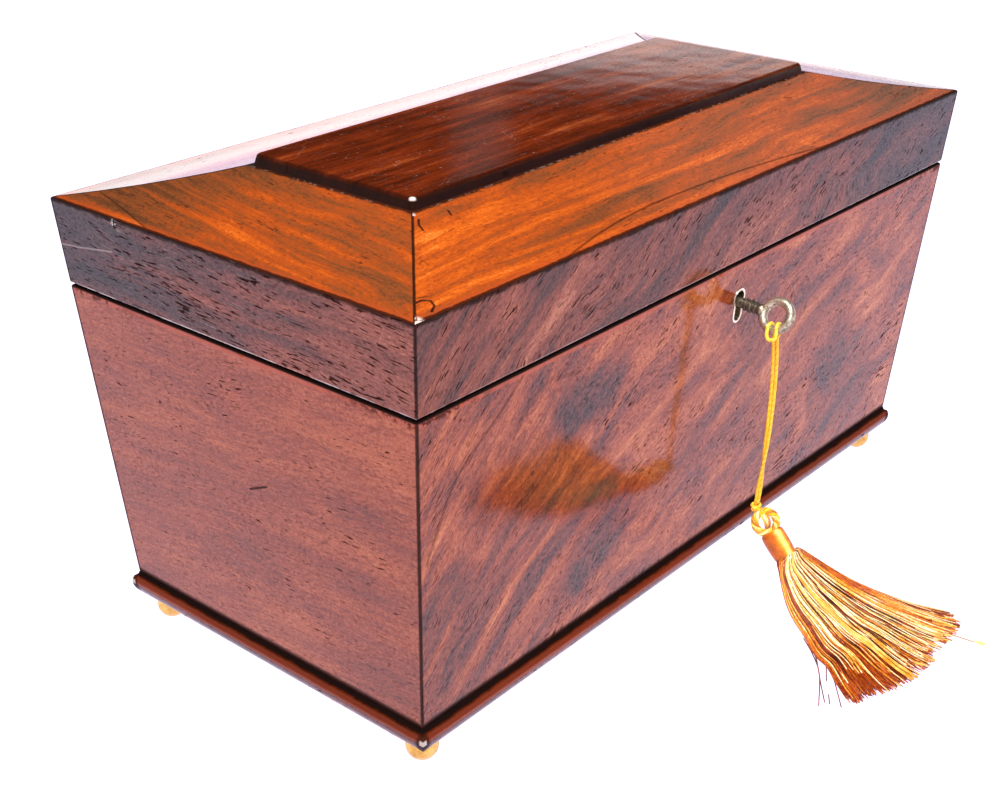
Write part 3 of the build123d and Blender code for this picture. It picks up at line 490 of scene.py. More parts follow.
def make_slope_end(name, sign, seed):
    g = Graph(name)
    x, y, z = g.part()
    if sign > 0:
        x, y = g.mul(x, -1.0), g.mul(y, -1.0)
    rise = g.mul(y, 0.13)
    wander = g.mul(g.sub(g.noise(y, x, 0.0, 80, 34, 50, 2.0, 0.5, 0.5, seed), 0.5), 15.0)
    v = g.add(g.sub(x, rise), wander)
    u = y
    mitre = g.sub(g.sub(34.7, g.m("ABSOLUTE", y)), g.mul(g.add(x, 109.7), 0.9553))
    inner, outer = g.sub(-109.7, x), g.add(x, 154.8)
    dark, red, dust = slope_edges(g, x, y, z, mitre, inner, outer, seed + 0.5)
    # painted shade: darker towards the back
    far = g.mul(g.step(y, 5.0, 75.0), -0.34)
    lift = far
    if sign < 0:
        # an old repair: a let-in piece at the outer edge, brighter along its own edge
        side = g.sub(g.mul(g.sub(y, 26.5), 10.3), g.mul(g.add(x, 155.2), 36.4))
        seam = strokes(g, x, y, [(-143.6, 68.0), (-144.9, 62.9), (-147.8, 51.2), (-152.0, 37.0), (-155.2, 26.5)], 0.10, 0.35)
        piece = g.step(side, -6.0, 6.0)
        dark = top(g, dark, g.mul(seam, 0.55))
        lift = g.add(lift, g.mul(piece, g.step(x, -149.0, -154.0), 0.50), g.mul(g.step(side, -160.0, -20.0), g.step(side, 20.0, -10.0), -0.10))
    return wood(g, u, v, z, SLOPE_TONES, band=(100, 6.5), contrast=0.60, pore=0.42, seed=seed, bias=-0.08, lift=lift,
                dark=dark, red=red, pale=dust, pore_tone=(0.05, 0.012, 0.005), cloud=0.35, grit=0.9)


def make_raised():
    g = Graph("mahogany_raised_panel")
    x, y, z = g.part()
    wander = g.mul(g.sub(g.noise(x, y, 0.0, 100, 40, 50, 1.0, 0.5, 0.0, 8.0), 0.5), 7.0)
    v = g.add(y, wander)
    side = g.mul(g.step(z, 167.3, 166.3), 0.93)
    ex = g.sub(108.7, g.m("ABSOLUTE", x))
    ey = g.sub(33.9, g.m("ABSOLUTE", y))
    rag = g.mul(g.sub(g.noise(x, y, z, 4.0, 4.0, 4.0, 3.0, 0.6, 0.0, 8.5), 0.5), 1.4)
    rim = g.step(g.add(g.m("MINIMUM", ex, ey), rag), 1.6, 0.1)
    dark = top(g, side, g.mul(rim, 0.75))
    # hair scratches in the polish, a painted highlight on the near corner and a little dust
    hair = None
    for k, (dx, dy) in enumerate(((1.0, 0.35), (0.55, 1.0), (1.0, -0.6))):
        a = g.add(g.mul(x, dx), g.mul(y, dy))
        b = g.sub(g.mul(y, dx), g.mul(x, dy))
        s = g.line(g.sub(g.noise(a, b, 0.0, 46.0, 5.5, 1, 1.0, 0.4, 0.0, 90.0 + k), 0.5), 0.0012, 0.0035)
        s = g.mul(s, g.step(g.noise(a, b, 0.0, 14.0, 9.0, 1, 1.0, 0.5, 0.0, 95.0 + k), 0.54, 0.62))
        hair = s if hair is None else top(g, hair, s)
    # painted highlight: a pale glint on the near top corner
    wear_and_glint = g.mul(spot_at(g, x, y, -108.2, -33.4, 0.5, 1.0), g.step(z, 166.2, 167.0))
    dot = g.step(g.noise(x, y, 0.0, 1.3, 1.3, 1, 0.0, 0.5, 0.0, 99.0), 0.82, 0.85)
    flat = g.mul(g.step(z, 167.2, 167.5), g.step(g.m("MINIMUM", ex, ey), 1.5, 2.5))
    pale = top(g, wear_and_glint, g.mul(hair, 0.07, flat), g.mul(dot, 0.22, flat))
    # painted light: the tone is lifted towards the right end of the panel (the lift below)
    polish = g.m("MULTIPLY_ADD", g.step(x, 0.0, 75.0), 0.54, 0.36)
    return wood(g, x, v, z, PANEL_TONES, coat=polish, band=(100, 6.0), contrast=0.62, pore=0.45, seed=9.0, dark=dark, pale=pale,
                pale_tone=(0.75, 0.62, 0.54), coat_rough=0.05, cloud=0.45, grit=0.6,
                lift=g.mul(g.step(x, 15.0, 90.0), 0.30))


def make_mould(name, along_x, seed):
    g = Graph(name)
    x, y, z = g.part()
    u, v = (x, y) if along_x else (y, x)
    rag = g.mul(g.sub(g.noise(x, y, z, 5.0, 5.0, 5.0, 3.0, 0.6, 0.0, seed + 1), 0.5), 0.9)
    dark = top(g, g.step(g.add(z, g.mul(rag, 0.4)), 16.1, 16.9), g.mul(g.step(z, 10.15, 9.95), 0.4))
    waist = g.mul(g.line(g.sub(g.add(z, rag), 15.2), 0.9, 0.8), 0.60)
    shine = g.m("MULTIPLY_ADD", g.step(g.add(z, g.mul(rag, 0.5)), 15.0, 13.7), 0.72, 0.20)
    ends = half(g, 152.5, z) if along_x else half(g, 75.45, z)
    end = g.sub(ends, g.m("ABSOLUTE", u))
    # darker at the mitred ends
    dark_ends = g.step(g.add(end, rag), 1.6, -0.4)
    # painted highlight: a pale glint on the near corner, passed in as the pale mask
    glint = g.mul(g.step(end, -0.5, -1.0), g.line(g.sub(z, 14.4), 0.5, 0.6), g.step(x, 60.0, 20.0), 0.85)
    return wood(g, u, g.add(v, g.mul(z, 0.8)), z, MOULD_TONES, coat=shine, band=(60, 4.0), contrast=0.8, pore=0.4, seed=seed,
                dark=top(g, top(g, dark, g.mul(g.step(g.add(z, g.mul(rag, 0.5)), 14.3, 15.2), 0.42)), g.mul(dark_ends, 0.8)), red=waist, pale=glint, coat_rough=0.10, grit=0.6)


def make_inner(name, tones, axes, seed, polish=0.25):
    g = Graph(name)
    p = g.part()
    u, v, w = (p[i] for i in axes)
    wander = g.mul(g.sub(g.noise(u, v, w, 90, 45, 45, 1.0, 0.5, 0.0, seed), 0.5), 8.0)
    return wood(g, u, g.add(v, wander), w, tones, band=(120, 7.0), contrast=0.8, pore=0.45, seed=seed, coat=polish,
                coat_rough=0.3, rough=0.5, pore_tone=(0.03, 0.012, 0.006), grit=0.6, spec=0.3)


BEV = 0.28
coat_it("front_panel", make_front_panel(), BEV)
coat_it("back_panel", make_back_panel(), BEV)
coat_it("left_end_panel", make_end_panel("mahogany_left_end", -1, 14.0), BEV)
coat_it("right_end_panel", make_end_panel("mahogany_right_end", 1, 17.0), BEV)
coat_it("lid_front_board", make_lid_long("mahogany_lid_front", -1, 21.0), BEV)
coat_it("lid_back_board", make_lid_long("mahogany_lid_back", 1, 23.0), BEV)
coat_it("lid_left_board", make_lid_end("mahogany_lid_left", -1, 25.0), BEV)
coat_it("lid_right_board", make_lid_end("mahogany_lid_right", 1, 27.0), BEV)
coat_it("front_slope", make_slope_long("mahogany_front_slope", -1, 31.0), BEV)
coat_it("back_slope", make_slope_long("mahogany_back_slope", 1, 33.0), BEV)
coat_it("left_slope", make_slope_end("mahogany_left_slope", -1, 35.0), BEV)
coat_it("right_slope", make_slope_end("mahogany_right_slope", 1, 37.0), BEV)
coat_it("raised_panel", make_raised(), 0.5)
for side, along, seed in (("front", True, 41.0), ("back", True, 42.0), ("left", False, 43.0), ("right", False, 44.0)):
    coat_it(f"{side}_base_moulding", make_mould(f"mahogany_{side}_moulding", along, seed), 0.2)
pine = make_inner("pine_board", PINE_TONES, (0, 1, 2), 51.0, 0.0)
coat_it("bottom_board", pine)
part_y = make_inner("mahogany_partition", INNER_TONES, (1, 2, 0), 53.0)
part_x = make_inner("mahogany_inner", INNER_TONES, (0, 1, 2), 55.0)
for n in ("left_partition", "right_partition"):
    coat_it(n, part_y, 0.2)
for n in ("left_well_ledges", "right_well_ledges", "bowl_board"):
    coat_it(n, part_x, 0.2)
for n, s in (("left_well_lid", 57.0), ("right_well_lid", 58.0)):
    coat_it(n, make_inner(f"mahogany_{n}", INNER_TONES, (0, 1, 2), s, 0.6), 0.3)


# ---- metals, bone, paper, glass ------------------------------------------------------------
def brass(name, tone, tarnish, rough=0.22, seed=1.0, scale=1.0):
    g = Graph(name)
    x, y, z = g.part()
    a = g.noise(x, y, z, 5 * scale, 5 * scale, 5 * scale, 4.0, 0.6, 0.4, seed)
    b = g.noise(x, y, z, 0.7 * scale, 0.7 * scale, 0.7 * scale, 3.0, 0.6, 0.0, seed + 3)
    f = g.step(g.add(g.mul(a, 0.7), g.mul(b, 0.3)), 0.42, 0.66)
    color = g.mix(f, tone, tarnish)
    spot = g.step(g.noise(x, y, z, 0.45, 0.45, 0.45, 1.0, 0.5, 0.0, seed + 9), 0.70, 0.76)
    color = g.mix(g.mul(spot, 0.6), color, tuple(0.35 * c for c in tarnish))
    scratch = g.noise(x, y, z, 2.5, 0.25, 0.25, 2.0, 0.5, 0.0, seed + 5)
    normal = g.bump(g.add(g.mul(b, 0.5), g.mul(scratch, 0.4), g.mul(spot, -0.6)), 0.035)
    r = g.add(rough, g.mul(f, 0.16), g.mul(scratch, 0.1), g.mul(spot, 0.2))
    return g.shade(color, r, Metallic=1.0, Normal=normal)


feet_brass = brass("brass_feet", (0.80, 0.50, 0.14), (0.52, 0.27, 0.06), 0.24, 3.0)
for n in ("front_left_foot", "front_right_foot", "back_left_foot", "back_right_foot"):
    coat_it(n, feet_brass)
lock_brass = brass("brass_fittings", (0.70, 0.48, 0.17), (0.38, 0.24, 0.09), 0.30, 7.0)
for n in nodes:
    if ("hinge" in n and "pin" not in n) or n.startswith("lock_") or n.startswith("link_plate"):
        coat_it(n, lock_brass, 0.12 if "screws" not in n else 0.0)
steel_pin = brass("steel_pins", (0.42, 0.40, 0.37), (0.16, 0.14, 0.12), 0.35, 9.0)
for n in ("left_hinge_pin", "right_hinge_pin", "drill_pin"):
    coat_it(n, steel_pin)
coat_it("keyhole_liner", brass("liner_metal", (0.86, 0.80, 0.60), (0.55, 0.46, 0.28), 0.2, 13.0, 0.5), 0.12)


def make_key():
    g = Graph("key_metal")
    x, y, z = g.part()
    a = g.noise(x, y, z, 2.6, 2.6, 2.6, 4.0, 0.65, 0.5, 17.0)
    b = g.noise(x, y, z, 0.5, 0.5, 0.5, 3.0, 0.6, 0.0, 19.0)
    wear_and_glint = g.step(g.add(g.mul(a, 0.65), g.mul(b, 0.35)), 0.58, 0.42)
    shank = g.step(y, -84.8, -82.6)
    bright = g.mix(shank, (0.60, 0.52, 0.40), (0.40, 0.34, 0.25))
    dull = g.mix(shank, (0.20, 0.150, 0.100), (0.045, 0.032, 0.020))
    color = g.mix(g.mul(wear_and_glint, g.m("MULTIPLY_ADD", shank, -0.55, 1.0)), dull, bright)
    pit = g.step(g.noise(x, y, z, 0.7, 0.7, 0.7, 1.0, 0.5, 0.0, 23.0), 0.66, 0.73)
    color = g.mix(g.mul(pit, 0.7), color, (0.05, 0.030, 0.016))
    r = g.add(0.30, g.mul(g.sub(1.0, wear_and_glint), 0.22), g.mul(b, 0.12))
    return g.shade(color, r, Metallic=g.m("MULTIPLY_ADD", wear_and_glint, 0.35, 0.60), Specular_IOR_Level=0.5,
                   Normal=g.bump(g.add(g.mul(b, 0.6), g.mul(pit, -0.8)), 0.06))


coat_it("key", make_key())


def make_bone():
    g = Graph("turned_bone")
    x, y, z = g.part()
    ring = g.noise(g.m("SQRT", g.add(g.mul(x, x), g.mul(y, y))), z, 0.0, 1.2, 0.25, 1, 3.0, 0.6, 0.0, 2.0)
    fleck = g.step(g.noise(x, y, z, 0.3, 0.3, 2.4, 2.0, 0.5, 0.0, 5.0), 0.60, 0.70)
    color = g.mix(ring, (0.80, 0.72, 0.52), (0.66, 0.55, 0.35))
    color = g.mix(g.mul(fleck, 0.5), color, (0.40, 0.28, 0.14))
    return g.shade(color, 0.34, Normal=g.bump(g.add(ring, g.mul(fleck, -0.5)), 0.02), Subsurface_Weight=0.15,
                   Subsurface_Scale=0.002)


bone = make_bone()
for n in ("left_well_knob", "right_well_knob"):
    coat_it(n, bone)


def make_paper():
    g = Graph("lining_paper")
    x, y, z = g.part()
    a = g.noise(x, y, z, 40, 40, 40, 4.0, 0.6, 0.5, 2.0)
    b = g.noise(x, y, z, 0.8, 0.35, 0.5, 3.0, 0.7, 0.0, 4.0)
    fox = g.step(g.noise(x, y, z, 6, 6, 6, 3.0, 0.6, 0.0, 8.0), 0.64, 0.74)
    color = g.mix(a, (0.52, 0.40, 0.23), (0.38, 0.27, 0.14))
    color = g.mix(g.mul(b, 0.35), color, (0.24, 0.15, 0.07))
    color = g.mix(g.mul(fox, 0.5), color, (0.20, 0.10, 0.04))
    return g.shade(color, 0.85, Normal=g.bump(b, 0.05))


coat_it("lid_ceiling", make_paper(), 0.2)


def make_glass():
    g = Graph("bowl_glass")
    x, y, z = g.part()
    wave = g.noise(x, y, z, 14, 14, 8, 2.0, 0.5, 0.0, 3.0)
    seed_ = g.step(g.noise(x, y, z, 0.9, 0.9, 0.9, 1.0, 0.5, 0.0, 6.0), 0.74, 0.78)
    color = g.mix(wave, (0.93, 0.97, 0.95), (0.97, 0.99, 0.98))
    return g.shade(color, g.m("MULTIPLY_ADD", wave, 0.03, 0.01), Transmission_Weight=1.0, IOR=1.5,
                   Normal=g.bump(g.add(g.mul(wave, 1.5), g.mul(seed_, 0.3)), 0.10))


coat_it("mixing_bowl", make_glass())

# ---- silk ------------------------------------------------------------------------------------
rng = random.Random(20)


def frames(pts, first=None):
    """Tangents and two normals carried along a line of points."""
    p = np.array(pts, float)
    t = np.gradient(p, axis=0)
    t /= np.linalg.norm(t, axis=1)[:, None]
    a = np.array(first if first is not None else (0.3, 0.9, 0.2), float)
    n1 = []
    for k in range(len(p)):
        a = a - t[k] * a.dot(t[k])
        a /= np.linalg.norm(a)
        n1.append(a.copy())
    n1 = np.array(n1)
    return p, t, n1, np.cross(t, n1)


class Mesh:
    """Gathers tubes into one mesh, with a tint and a length coordinate for each."""

    def __init__(self):
        self.v, self.f, self.tint, self.run = [], [], [], []

    def tube(self, pts, radius, sides=8, tint=0.5, first=None, squash=1.0, cap=True, run0=0.0):
        p, t, a, b = frames(pts, first)
        r = np.broadcast_to(np.asarray(radius, float), (len(p),))
        base = len(self.v)
        run = run0
        for k in range(len(p)):
            if k:
                run += float(np.linalg.norm(p[k] - p[k - 1]))
            for s in range(sides):
                q = 2 * math.pi * s / sides
                self.v.append(tuple(p[k] + r[k] * (math.cos(q) * a[k] + squash * math.sin(q) * b[k])))
                self.tint.append(tint if np.isscalar(tint) else tint[k])
                self.run.append(run)
        for k in range(len(p) - 1):
            for s in range(sides):
                n = (s + 1) % sides
                self.f.append((base + k * sides + s, base + k * sides + n, base + (k + 1) * sides + n,
                               base + (k + 1) * sides + s))
        if cap:
            self.f.append(tuple(base + s for s in reversed(range(sides))))
            self.f.append(tuple(base + (len(p) - 1) * sides + s for s in range(sides)))

    def twist(self, pts, ply_r, orbit, pitch, plies=3, sides=7, tint=0.5, phase=0.0, first=None, spread=None):
        """Plies wound round a line. spread scales the orbit along it."""
        p, t, a, b = frames(pts, first)
        run = np.concatenate([[0], np.cumsum(np.linalg.norm(np.diff(p, axis=0), axis=1))])
        sp = np.ones(len(p)) if spread is None else np.asarray(spread, float)
        for k in range(plies):
            q = phase + 2 * math.pi * (run / pitch + k / plies)
            line = p + (orbit * sp)[:, None] * (np.cos(q)[:, None] * a + np.sin(q)[:, None] * b)
            self.tube(line, ply_r, sides, tint if np.isscalar(tint) else tint[k % len(tint)], first)

    def build(self, name, mat):
        me = bpy.data.meshes.new(name)
        me.from_pydata(self.v, [], self.f)
        me.update()
        for nm, data in (("tint", self.tint), ("run", self.run)):
            at = me.attributes.new(nm, "FLOAT", "POINT")
            at.data.foreach_set("value", np.asarray(data, np.float32))
        me.polygons.foreach_set("use_smooth", [True] * len(me.polygons))
        me.materials.append(mat)
        o = bpy.data.objects.new(name, me)
        bpy.context.scene.collection.objects.link(o)
        return o


def resample(pts, n):
    p = np.array(pts, float)
    s = np.concatenate([[0], np.cumsum(np.linalg.norm(np.diff(p, axis=0), axis=1))])
    q = np.linspace(0, s[-1], n)
    return np.stack([np.interp(q, s, p[:, k]) for k in range(3)], 1)


def smooth_line(ctrl, n=40):
    """Catmull-Rom line through control points."""
    c = np.array([tuple(x) for x in ctrl], float)
    c = np.vstack([2 * c[0] - c[1], c, 2 * c[-1] - c[-2]])
    out = []
    for k in range(1, len(c) - 2):
        for s in np.linspace(0, 1, 12, endpoint=False):
            a, b, d, e = c[k - 1], c[k], c[k + 1], c[k + 2]
            out.append(0.5 * ((2 * b) + (d - a) * s + (2 * a - 5 * b + 4 * d - e) * s ** 2
                              + (3 * b - a - 3 * d + e) * s ** 3))
    out.append(c[-2])
    return resample(out, n)


def silk(name, tones, sheen=0.25, rough=0.38, vary=0.35):
    """Lustrous thread: the tint picks a tone, fine filaments run along it."""
    g = Graph(name)
    x, y, z = g.part()
    tint = g.node("ShaderNodeAttribute", attribute_name="tint", attribute_type="GEOMETRY").outputs["Fac"]
    run = g.mul(g.node("ShaderNodeAttribute", attribute_name="run", attribute_type="GEOMETRY").outputs["Fac"], 1000.0)
    flick = g.noise(x, y, z, 1.6, 1.6, 1.6, 3.0, 0.65, 0.0, 2.0)
    along = g.noise(run, tint, 0.0, 7.0, 0.02, 1.0, 2.0, 0.5, 0.0, 4.0)
    t = g.add(tint, g.mul(g.sub(flick, 0.5), 0.35), g.mul(g.sub(along, 0.5), 1.6 * vary))
    color = g.ramp(t, tones)
    hair = g.noise(x, y, z, 0.16, 0.16, 0.16, 2.0, 0.6, 0.0, 9.0)
    return g.shade(color, g.m("MULTIPLY_ADD", hair, 0.2, rough - 0.1), Normal=g.bump(hair, 0.05),
                   Specular_IOR_Level=0.4, Sheen_Weight=sheen, Sheen_Roughness=0.35, Sheen_Tint=(1.0, 0.85, 0.5, 1.0),
                   Anisotropic=0.5)


CORD_TONES = [(0.0, (0.36, 0.10, 0.003)), (0.3, (0.72, 0.30, 0.007)), (0.6, (0.95, 0.50, 0.014)), (1.0, (1.0, 0.74, 0.10))]
SKIRT_TONES = [(0.0, (0.080, 0.006, 0.001)), (0.20, (0.340, 0.040, 0.003)), (0.40, (0.66, 0.150, 0.009)),
               (0.60, (0.92, 0.330, 0.022)), (0.80, (1.0, 0.62, 0.120)), (1.0, (1.0, 0.93, 0.62))]
HEAD_TONES = [(0.0, (0.22, 0.030, 0.002)), (0.30, (0.52, 0.110, 0.006)), (0.60, (0.84, 0.32, 0.018)), (0.85, (1.0, 0.66, 0.15)), (1.0, (1.0, 0.86, 0.42))]
silk_cord = silk("silk_cord", CORD_TONES, 0.08)
silk_skirt = silk("silk_skirt", SKIRT_TONES, 0.05, 0.36, 0.55)

# cord: the route of the part's own tube, as a NURBS line read back without a bevel
route = [(5.0, -90.75, 101.9), (6.7, -90.7, 92.5), (7.4, -90.2, 71.5), (7.3, -88.9, 50.0), (7.2, -88.0, 37.9)]
curve = bpy.data.curves.new("cord_route", "CURVE")
curve.dimensions = "3D"
sp = curve.splines.new("NURBS")
sp.points.add(len(route) - 1)
for pt, c in zip(sp.points, route):
    pt.co = (*mm(c), 1.0)
sp.order_u = 3
sp.use_endpoint_u = True
sp.resolution_u = 24
route_obj = bpy.data.objects.new("cord_route", curve)
bpy.context.scene.collection.objects.link(route_obj)
bpy.context.view_layer.update()
line_mesh = bpy.data.meshes.new_from_object(route_obj)
cord_line = resample([tuple(v.co) for v in line_mesh.vertices], 220)
bpy.data.meshes.remove(line_mesh)
bpy.data.objects.remove(route_obj)

STRAND = 0.60 * MM
cam_right = np.array(tuple(rt))
p, t, a, b = frames(cord_line, cam_right)
run = np.linspace(0, 1, len(p))
# the two strands lie side by side at the top and are laid round each other lower down
turns = 2 * math.pi * (0.04 + 0.62 * np.clip((run - 0.45) / 0.55, 0, 1) ** 1.6)
gap = (0.63 - 0.14 * np.clip((run - 0.1) / 0.6, 0, 1)) * MM
cord_mesh = Mesh()
strand_lines = []
for s in (0, math.pi):
    line = p + gap[:, None] * (np.cos(turns + s)[:, None] * a + np.sin(turns + s)[:, None] * b)
    strand_lines.append(line)
    cord_mesh.twist(line, 0.335 * MM, 0.30 * MM, 2.3 * MM, 3, 7, (0.62, 0.52, 0.72) if s else (0.70, 0.60, 0.50), s)
cord_obj = cord_mesh.build("silk_cord_strands", silk_cord)

# hitch on the bow: both strands come up behind the wire, over it, and join in a bar in front
O = mm((7.3, -74.3065, 110.8))
W = Vector((0, -0.997324, -0.073104))
V = Vector((0, -0.073104, 0.997324))
U = Vector((1, 0, 0))
rest = math.radians(32.0)
U1 = U * math.cos(rest) - V * math.sin(rest)
V1 = U * math.sin(rest) + V * math.cos(rest)
ha = math.radians(285.0)
wire_c = O + (V1 * (4.90 * math.sin(ha)) + W * (15.0 + 4.90 * math.cos(ha))) * MM
N = V1 * math.sin(ha) + W * math.cos(ha)
T = V1 * math.cos(ha) - W * math.sin(ha)
F = -U1


def at(n, f, t_):
    return wire_c + (N * n + F * f + T * t_) * MM


hitch_mesh = Mesh()
top_a, top_b = Vector(strand_lines[0][0]), Vector(strand_lines[1][0])
if (top_a - top_b).dot(T) < 0:
    top_a, top_b = top_b, top_a
half_pts = [(2.4, -2.05, 0.62), (1.0, -2.06, 1.0), (-0.7, -2.06, 1.25), (-2.0, -0.90, 1.35), (-2.0, 0.90, 1.4),
            (-0.7, 2.10, 1.5), (0.9, 2.15, 1.6), (2.2, 2.0, 1.65), (3.3, 1.7, 1.2), (3.7, 1.5, 0.5)]
left_side = [at(n, f, -t_) for n, f, t_ in half_pts]
right_side = [at(n, f, t_) for n, f, t_ in reversed(half_pts)]
loop = [top_b, *left_side, at(3.75, 1.45, 0.0), *right_side, top_a]
hitch_mesh.twist(smooth_line(loop, 260), 0.35 * MM, 0.30 * MM, 2.3 * MM, 3, 7, (0.74, 0.62, 0.86))
hitch_obj = hitch_mesh.build("silk_hitch", silk_cord)
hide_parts("cord_hitch")
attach(hitch_obj, "key")

# knot: a few tight turns of the same strand
knot_c = mm((7.2, -87.9, 36.2))
knot_mesh = Mesh()
for k, (tilt_, r_, z_) in enumerate(((0.25, 1.30, 0.75), (-0.35, 1.42, 0.0), (0.15, 1.20, -0.85))):
    ring = []
    for q in np.linspace(0, 2 * math.pi, 40):
        ring.append(knot_c + Vector((r_ * math.cos(q), r_ * math.sin(q), z_ + tilt_ * r_ * math.cos(q + k))) * MM)
    knot_mesh.twist(ring, 0.33 * MM, 0.28 * MM, 2.1 * MM, 3, 7, (0.66, 0.5, 0.78))
knot_mesh.twist([knot_c + Vector((0.2, 0, 1.7)) * MM, knot_c + Vector((0, 0, 0)) * MM,
                 knot_c + Vector((0.1, -0.5, -1.9)) * MM], 0.5 * MM, 0.4 * MM, 3 * MM, 3, 8, 0.4)
knot_obj = knot_mesh.build("silk_knot", silk_cord)

# ring of the tassel: five plies wound round a circle
ring_c, ring_n = mm((7.3, -92.2, 31.5)), Vector((-0.688, -0.548, 0.476)).normalized()
ra = ring_n.orthogonal().normalized()
rb = ring_n.cross(ra)
ring_mesh = Mesh()
circle = [ring_c + (ra * math.cos(q) + rb * math.sin(q)) * (3.85 * MM) for q in np.linspace(0, 2 * math.pi, 241)]
cp, ct, ca, cb = frames(circle)
wind = np.linspace(0, 2 * math.pi, 241)
for k in range(5):
    q = wind * 3 + 2 * math.pi * k / 5
    radial = (cp - np.array(ring_c)) / (3.85 * MM)
    line = cp + (0.84 * MM) * (np.cos(q)[:, None] * radial + np.sin(q)[:, None] * np.array(ring_n))
    ring_mesh.tube(line, 0.60 * MM, 9, (0.66, 0.16, 0.46, 0.88, 0.30)[k], cap=False)
# the cord's own tail passes through the ring and is bound in with the head
side = Vector((0.645, -0.763, 0.0))
for k, (off, tint) in enumerate(((-0.9, 0.55), (0.2, 0.85), (1.2, 0.30))):
    tail = [knot_c + Vector((0.3, -0.6, -0.8)) * MM, ring_c + (ring_n * -0.2 + side * (off - 0.6)) * MM + Vector((0, 0, 2.2)) * MM,
            ring_c + (ring_n * 0.3 + side * (off * 0.8 + 0.5)) * MM + Vector((0, 0, -0.4)) * MM,
            ring_c + (ring_n * -1.6 + side * (0.9 + 0.5 * off)) * MM + Vector((0, 0, -3.0)) * MM]
    ring_mesh.tube(smooth_line(tail, 40), 0.42 * MM, 7, tint)
ring_obj = ring_mesh.build("tassel_cord_ring", silk("silk_ring", CORD_TONES[:-1] + [(1.0, (1.0, 0.86, 0.42))], 0.1, 0.28, 0.5))

# head: thread wound closely round a waisted core
tz = Vector((0, -0.656, -0.755)).normalized()
head_p0 = ring_c + tz * (3.6 * MM)
hx = Vector((1, 0, 0))
hy = tz.cross(hx)
HEAD_LEN = 10.4
prof = [(0.0, 2.6), (0.25, 3.5), (0.7, 4.10), (1.6, 4.32), (3.6, 4.38), (6.0, 4.34), (8.4, 4.22), (9.9, 4.10), (10.4, 3.85)]
ps = np.array(prof)
steps = np.linspace(0, HEAD_LEN, 160)
rad = np.interp(steps, ps[:, 0], ps[:, 1])
# painted highlight: the satin's tint is brightest along the side turned up and to the right
lit = (rt * 0.20 + up * 0.42 - fw * 0.89).normalized()
verts, faces, painted_highlight_tint_, run_ = [], [], [], []
SIDES = 96
for k, (s, r_) in enumerate(zip(steps, rad)):
    ridge = 0.035 * abs(math.sin(math.pi * s / 0.42))
    for j in range(SIDES):
        q = 2 * math.pi * j / SIDES
        fold = 0.05 * math.sin(q * 5 + s * 0.3) + 0.03 * math.sin(q * 11 + 1.3)
        rr = (r_ + ridge + fold * min(1.0, s / 3) - 0.05) * MM
        c = head_p0 + tz * (s * MM) + (hx * math.cos(q) + hy * math.sin(q)) * rr
        verts.append(tuple(c))
        out = hx * math.cos(q) + hy * math.sin(q)
        painted_highlight_tint_.append(max(0.0, out.dot(lit)) ** 12)
        run_.append(s * MM)
for k in range(len(steps) - 1):
    for j in range(SIDES):
        n_ = (j + 1) % SIDES
        faces.append((k * SIDES + j, k * SIDES + n_, (k + 1) * SIDES + n_, (k + 1) * SIDES + j))
faces.append(tuple(reversed(range(SIDES))))
faces.append(tuple((len(steps) - 1) * SIDES + j for j in range(SIDES)))
hm = Mesh()
hm.v, hm.f, hm.tint, hm.run = verts, [tuple(reversed(f)) for f in faces], painted_highlight_tint_, run_


def head_silk():
    g = Graph("silk_head")
    x, y, z = g.part()
    run = g.mul(g.node("ShaderNodeAttribute", attribute_name="run", attribute_type="GEOMETRY").outputs["Fac"], 1000.0)
    thread = g.noise(run, x, z, 0.16, 2.5, 2.5, 2.0, 0.6, 0.0, 2.0)
    soft = g.noise(x, y, z, 3.0, 3.0, 3.0, 2.0, 0.5, 0.0, 5.0)
    # the tint attribute of the head holds the painted highlight
    painted_highlight = g.node("ShaderNodeAttribute", attribute_name="tint", attribute_type="GEOMETRY").outputs["Fac"]
    t = g.add(0.27, g.mul(painted_highlight, 0.86), g.mul(g.sub(thread, 0.5), 0.34), g.mul(g.sub(soft, 0.5), 0.5))
    return g.shade(g.ramp(t, HEAD_TONES), 0.30, Normal=g.bump(thread, 0.06), Specular_IOR_Level=0.3, Sheen_Weight=0.05,
                   Sheen_Roughness=0.3, Sheen_Tint=(1.0, 0.8, 0.4, 1.0), Anisotropic=0.6)


head_obj = hm.build("tassel_bound_head", head_silk())

# skirt: several hundred threads, fanned over the surface
right_edge = [(10.6, -101.2, 20.9), (13, -101.6, 21.3), (17.3, -103.8, 18.8), (23, -109.6, 13), (28.5, -116.9, 7.2),
              (33.4, -125.2, 2.8), (35.1, -134.6, 1.5), (36.4, -142.7, 1.2), (38.5, -152.5, 1.2)]
left_edge = [(4.0, -101.4, 20.6), (1.9, -102.4, 20.4), (-2.1, -105.6, 17.0), (-6.3, -110.8, 12), (-8.3, -115.1, 8.5),
             (-9.6, -120.2, 5.1), (-13.6, -127.5, 2.1), (-15.5, -133.2, 1.5), (-21.8, -140.7, 1.2), (-27.5, -148.5, 1.2)]
ends = [(-29.1, -149.1), (-27.7, -151.5), (-19.6, -153.4), (-16.7, -156.7), (-10.2, -158.4), (-3.4, -160.6),
        (5.8, -160.9), (12.7, -160.1), (19.1, -159.6), (24.4, -159.6), (34.6, -158.2), (38.0, -156.4), (41.2, -153.8)]
K = 40
right_s, left_s = smooth_line(right_edge, K), smooth_line(left_edge, K)
end_line = resample([(a_, b_, 0) for a_, b_ in ends], 200)
foot_c = head_p0 + tz * ((HEAD_LEN - 0.3) * MM)
foot_c = np.array((foot_c.x / MM, foot_c.y / MM - SHIFT, foot_c.z / MM))
side_n = np.array(tuple(hy))
if side_n[2] < 0:
    side_n = -side_n
tt = np.linspace(0, 1, K)


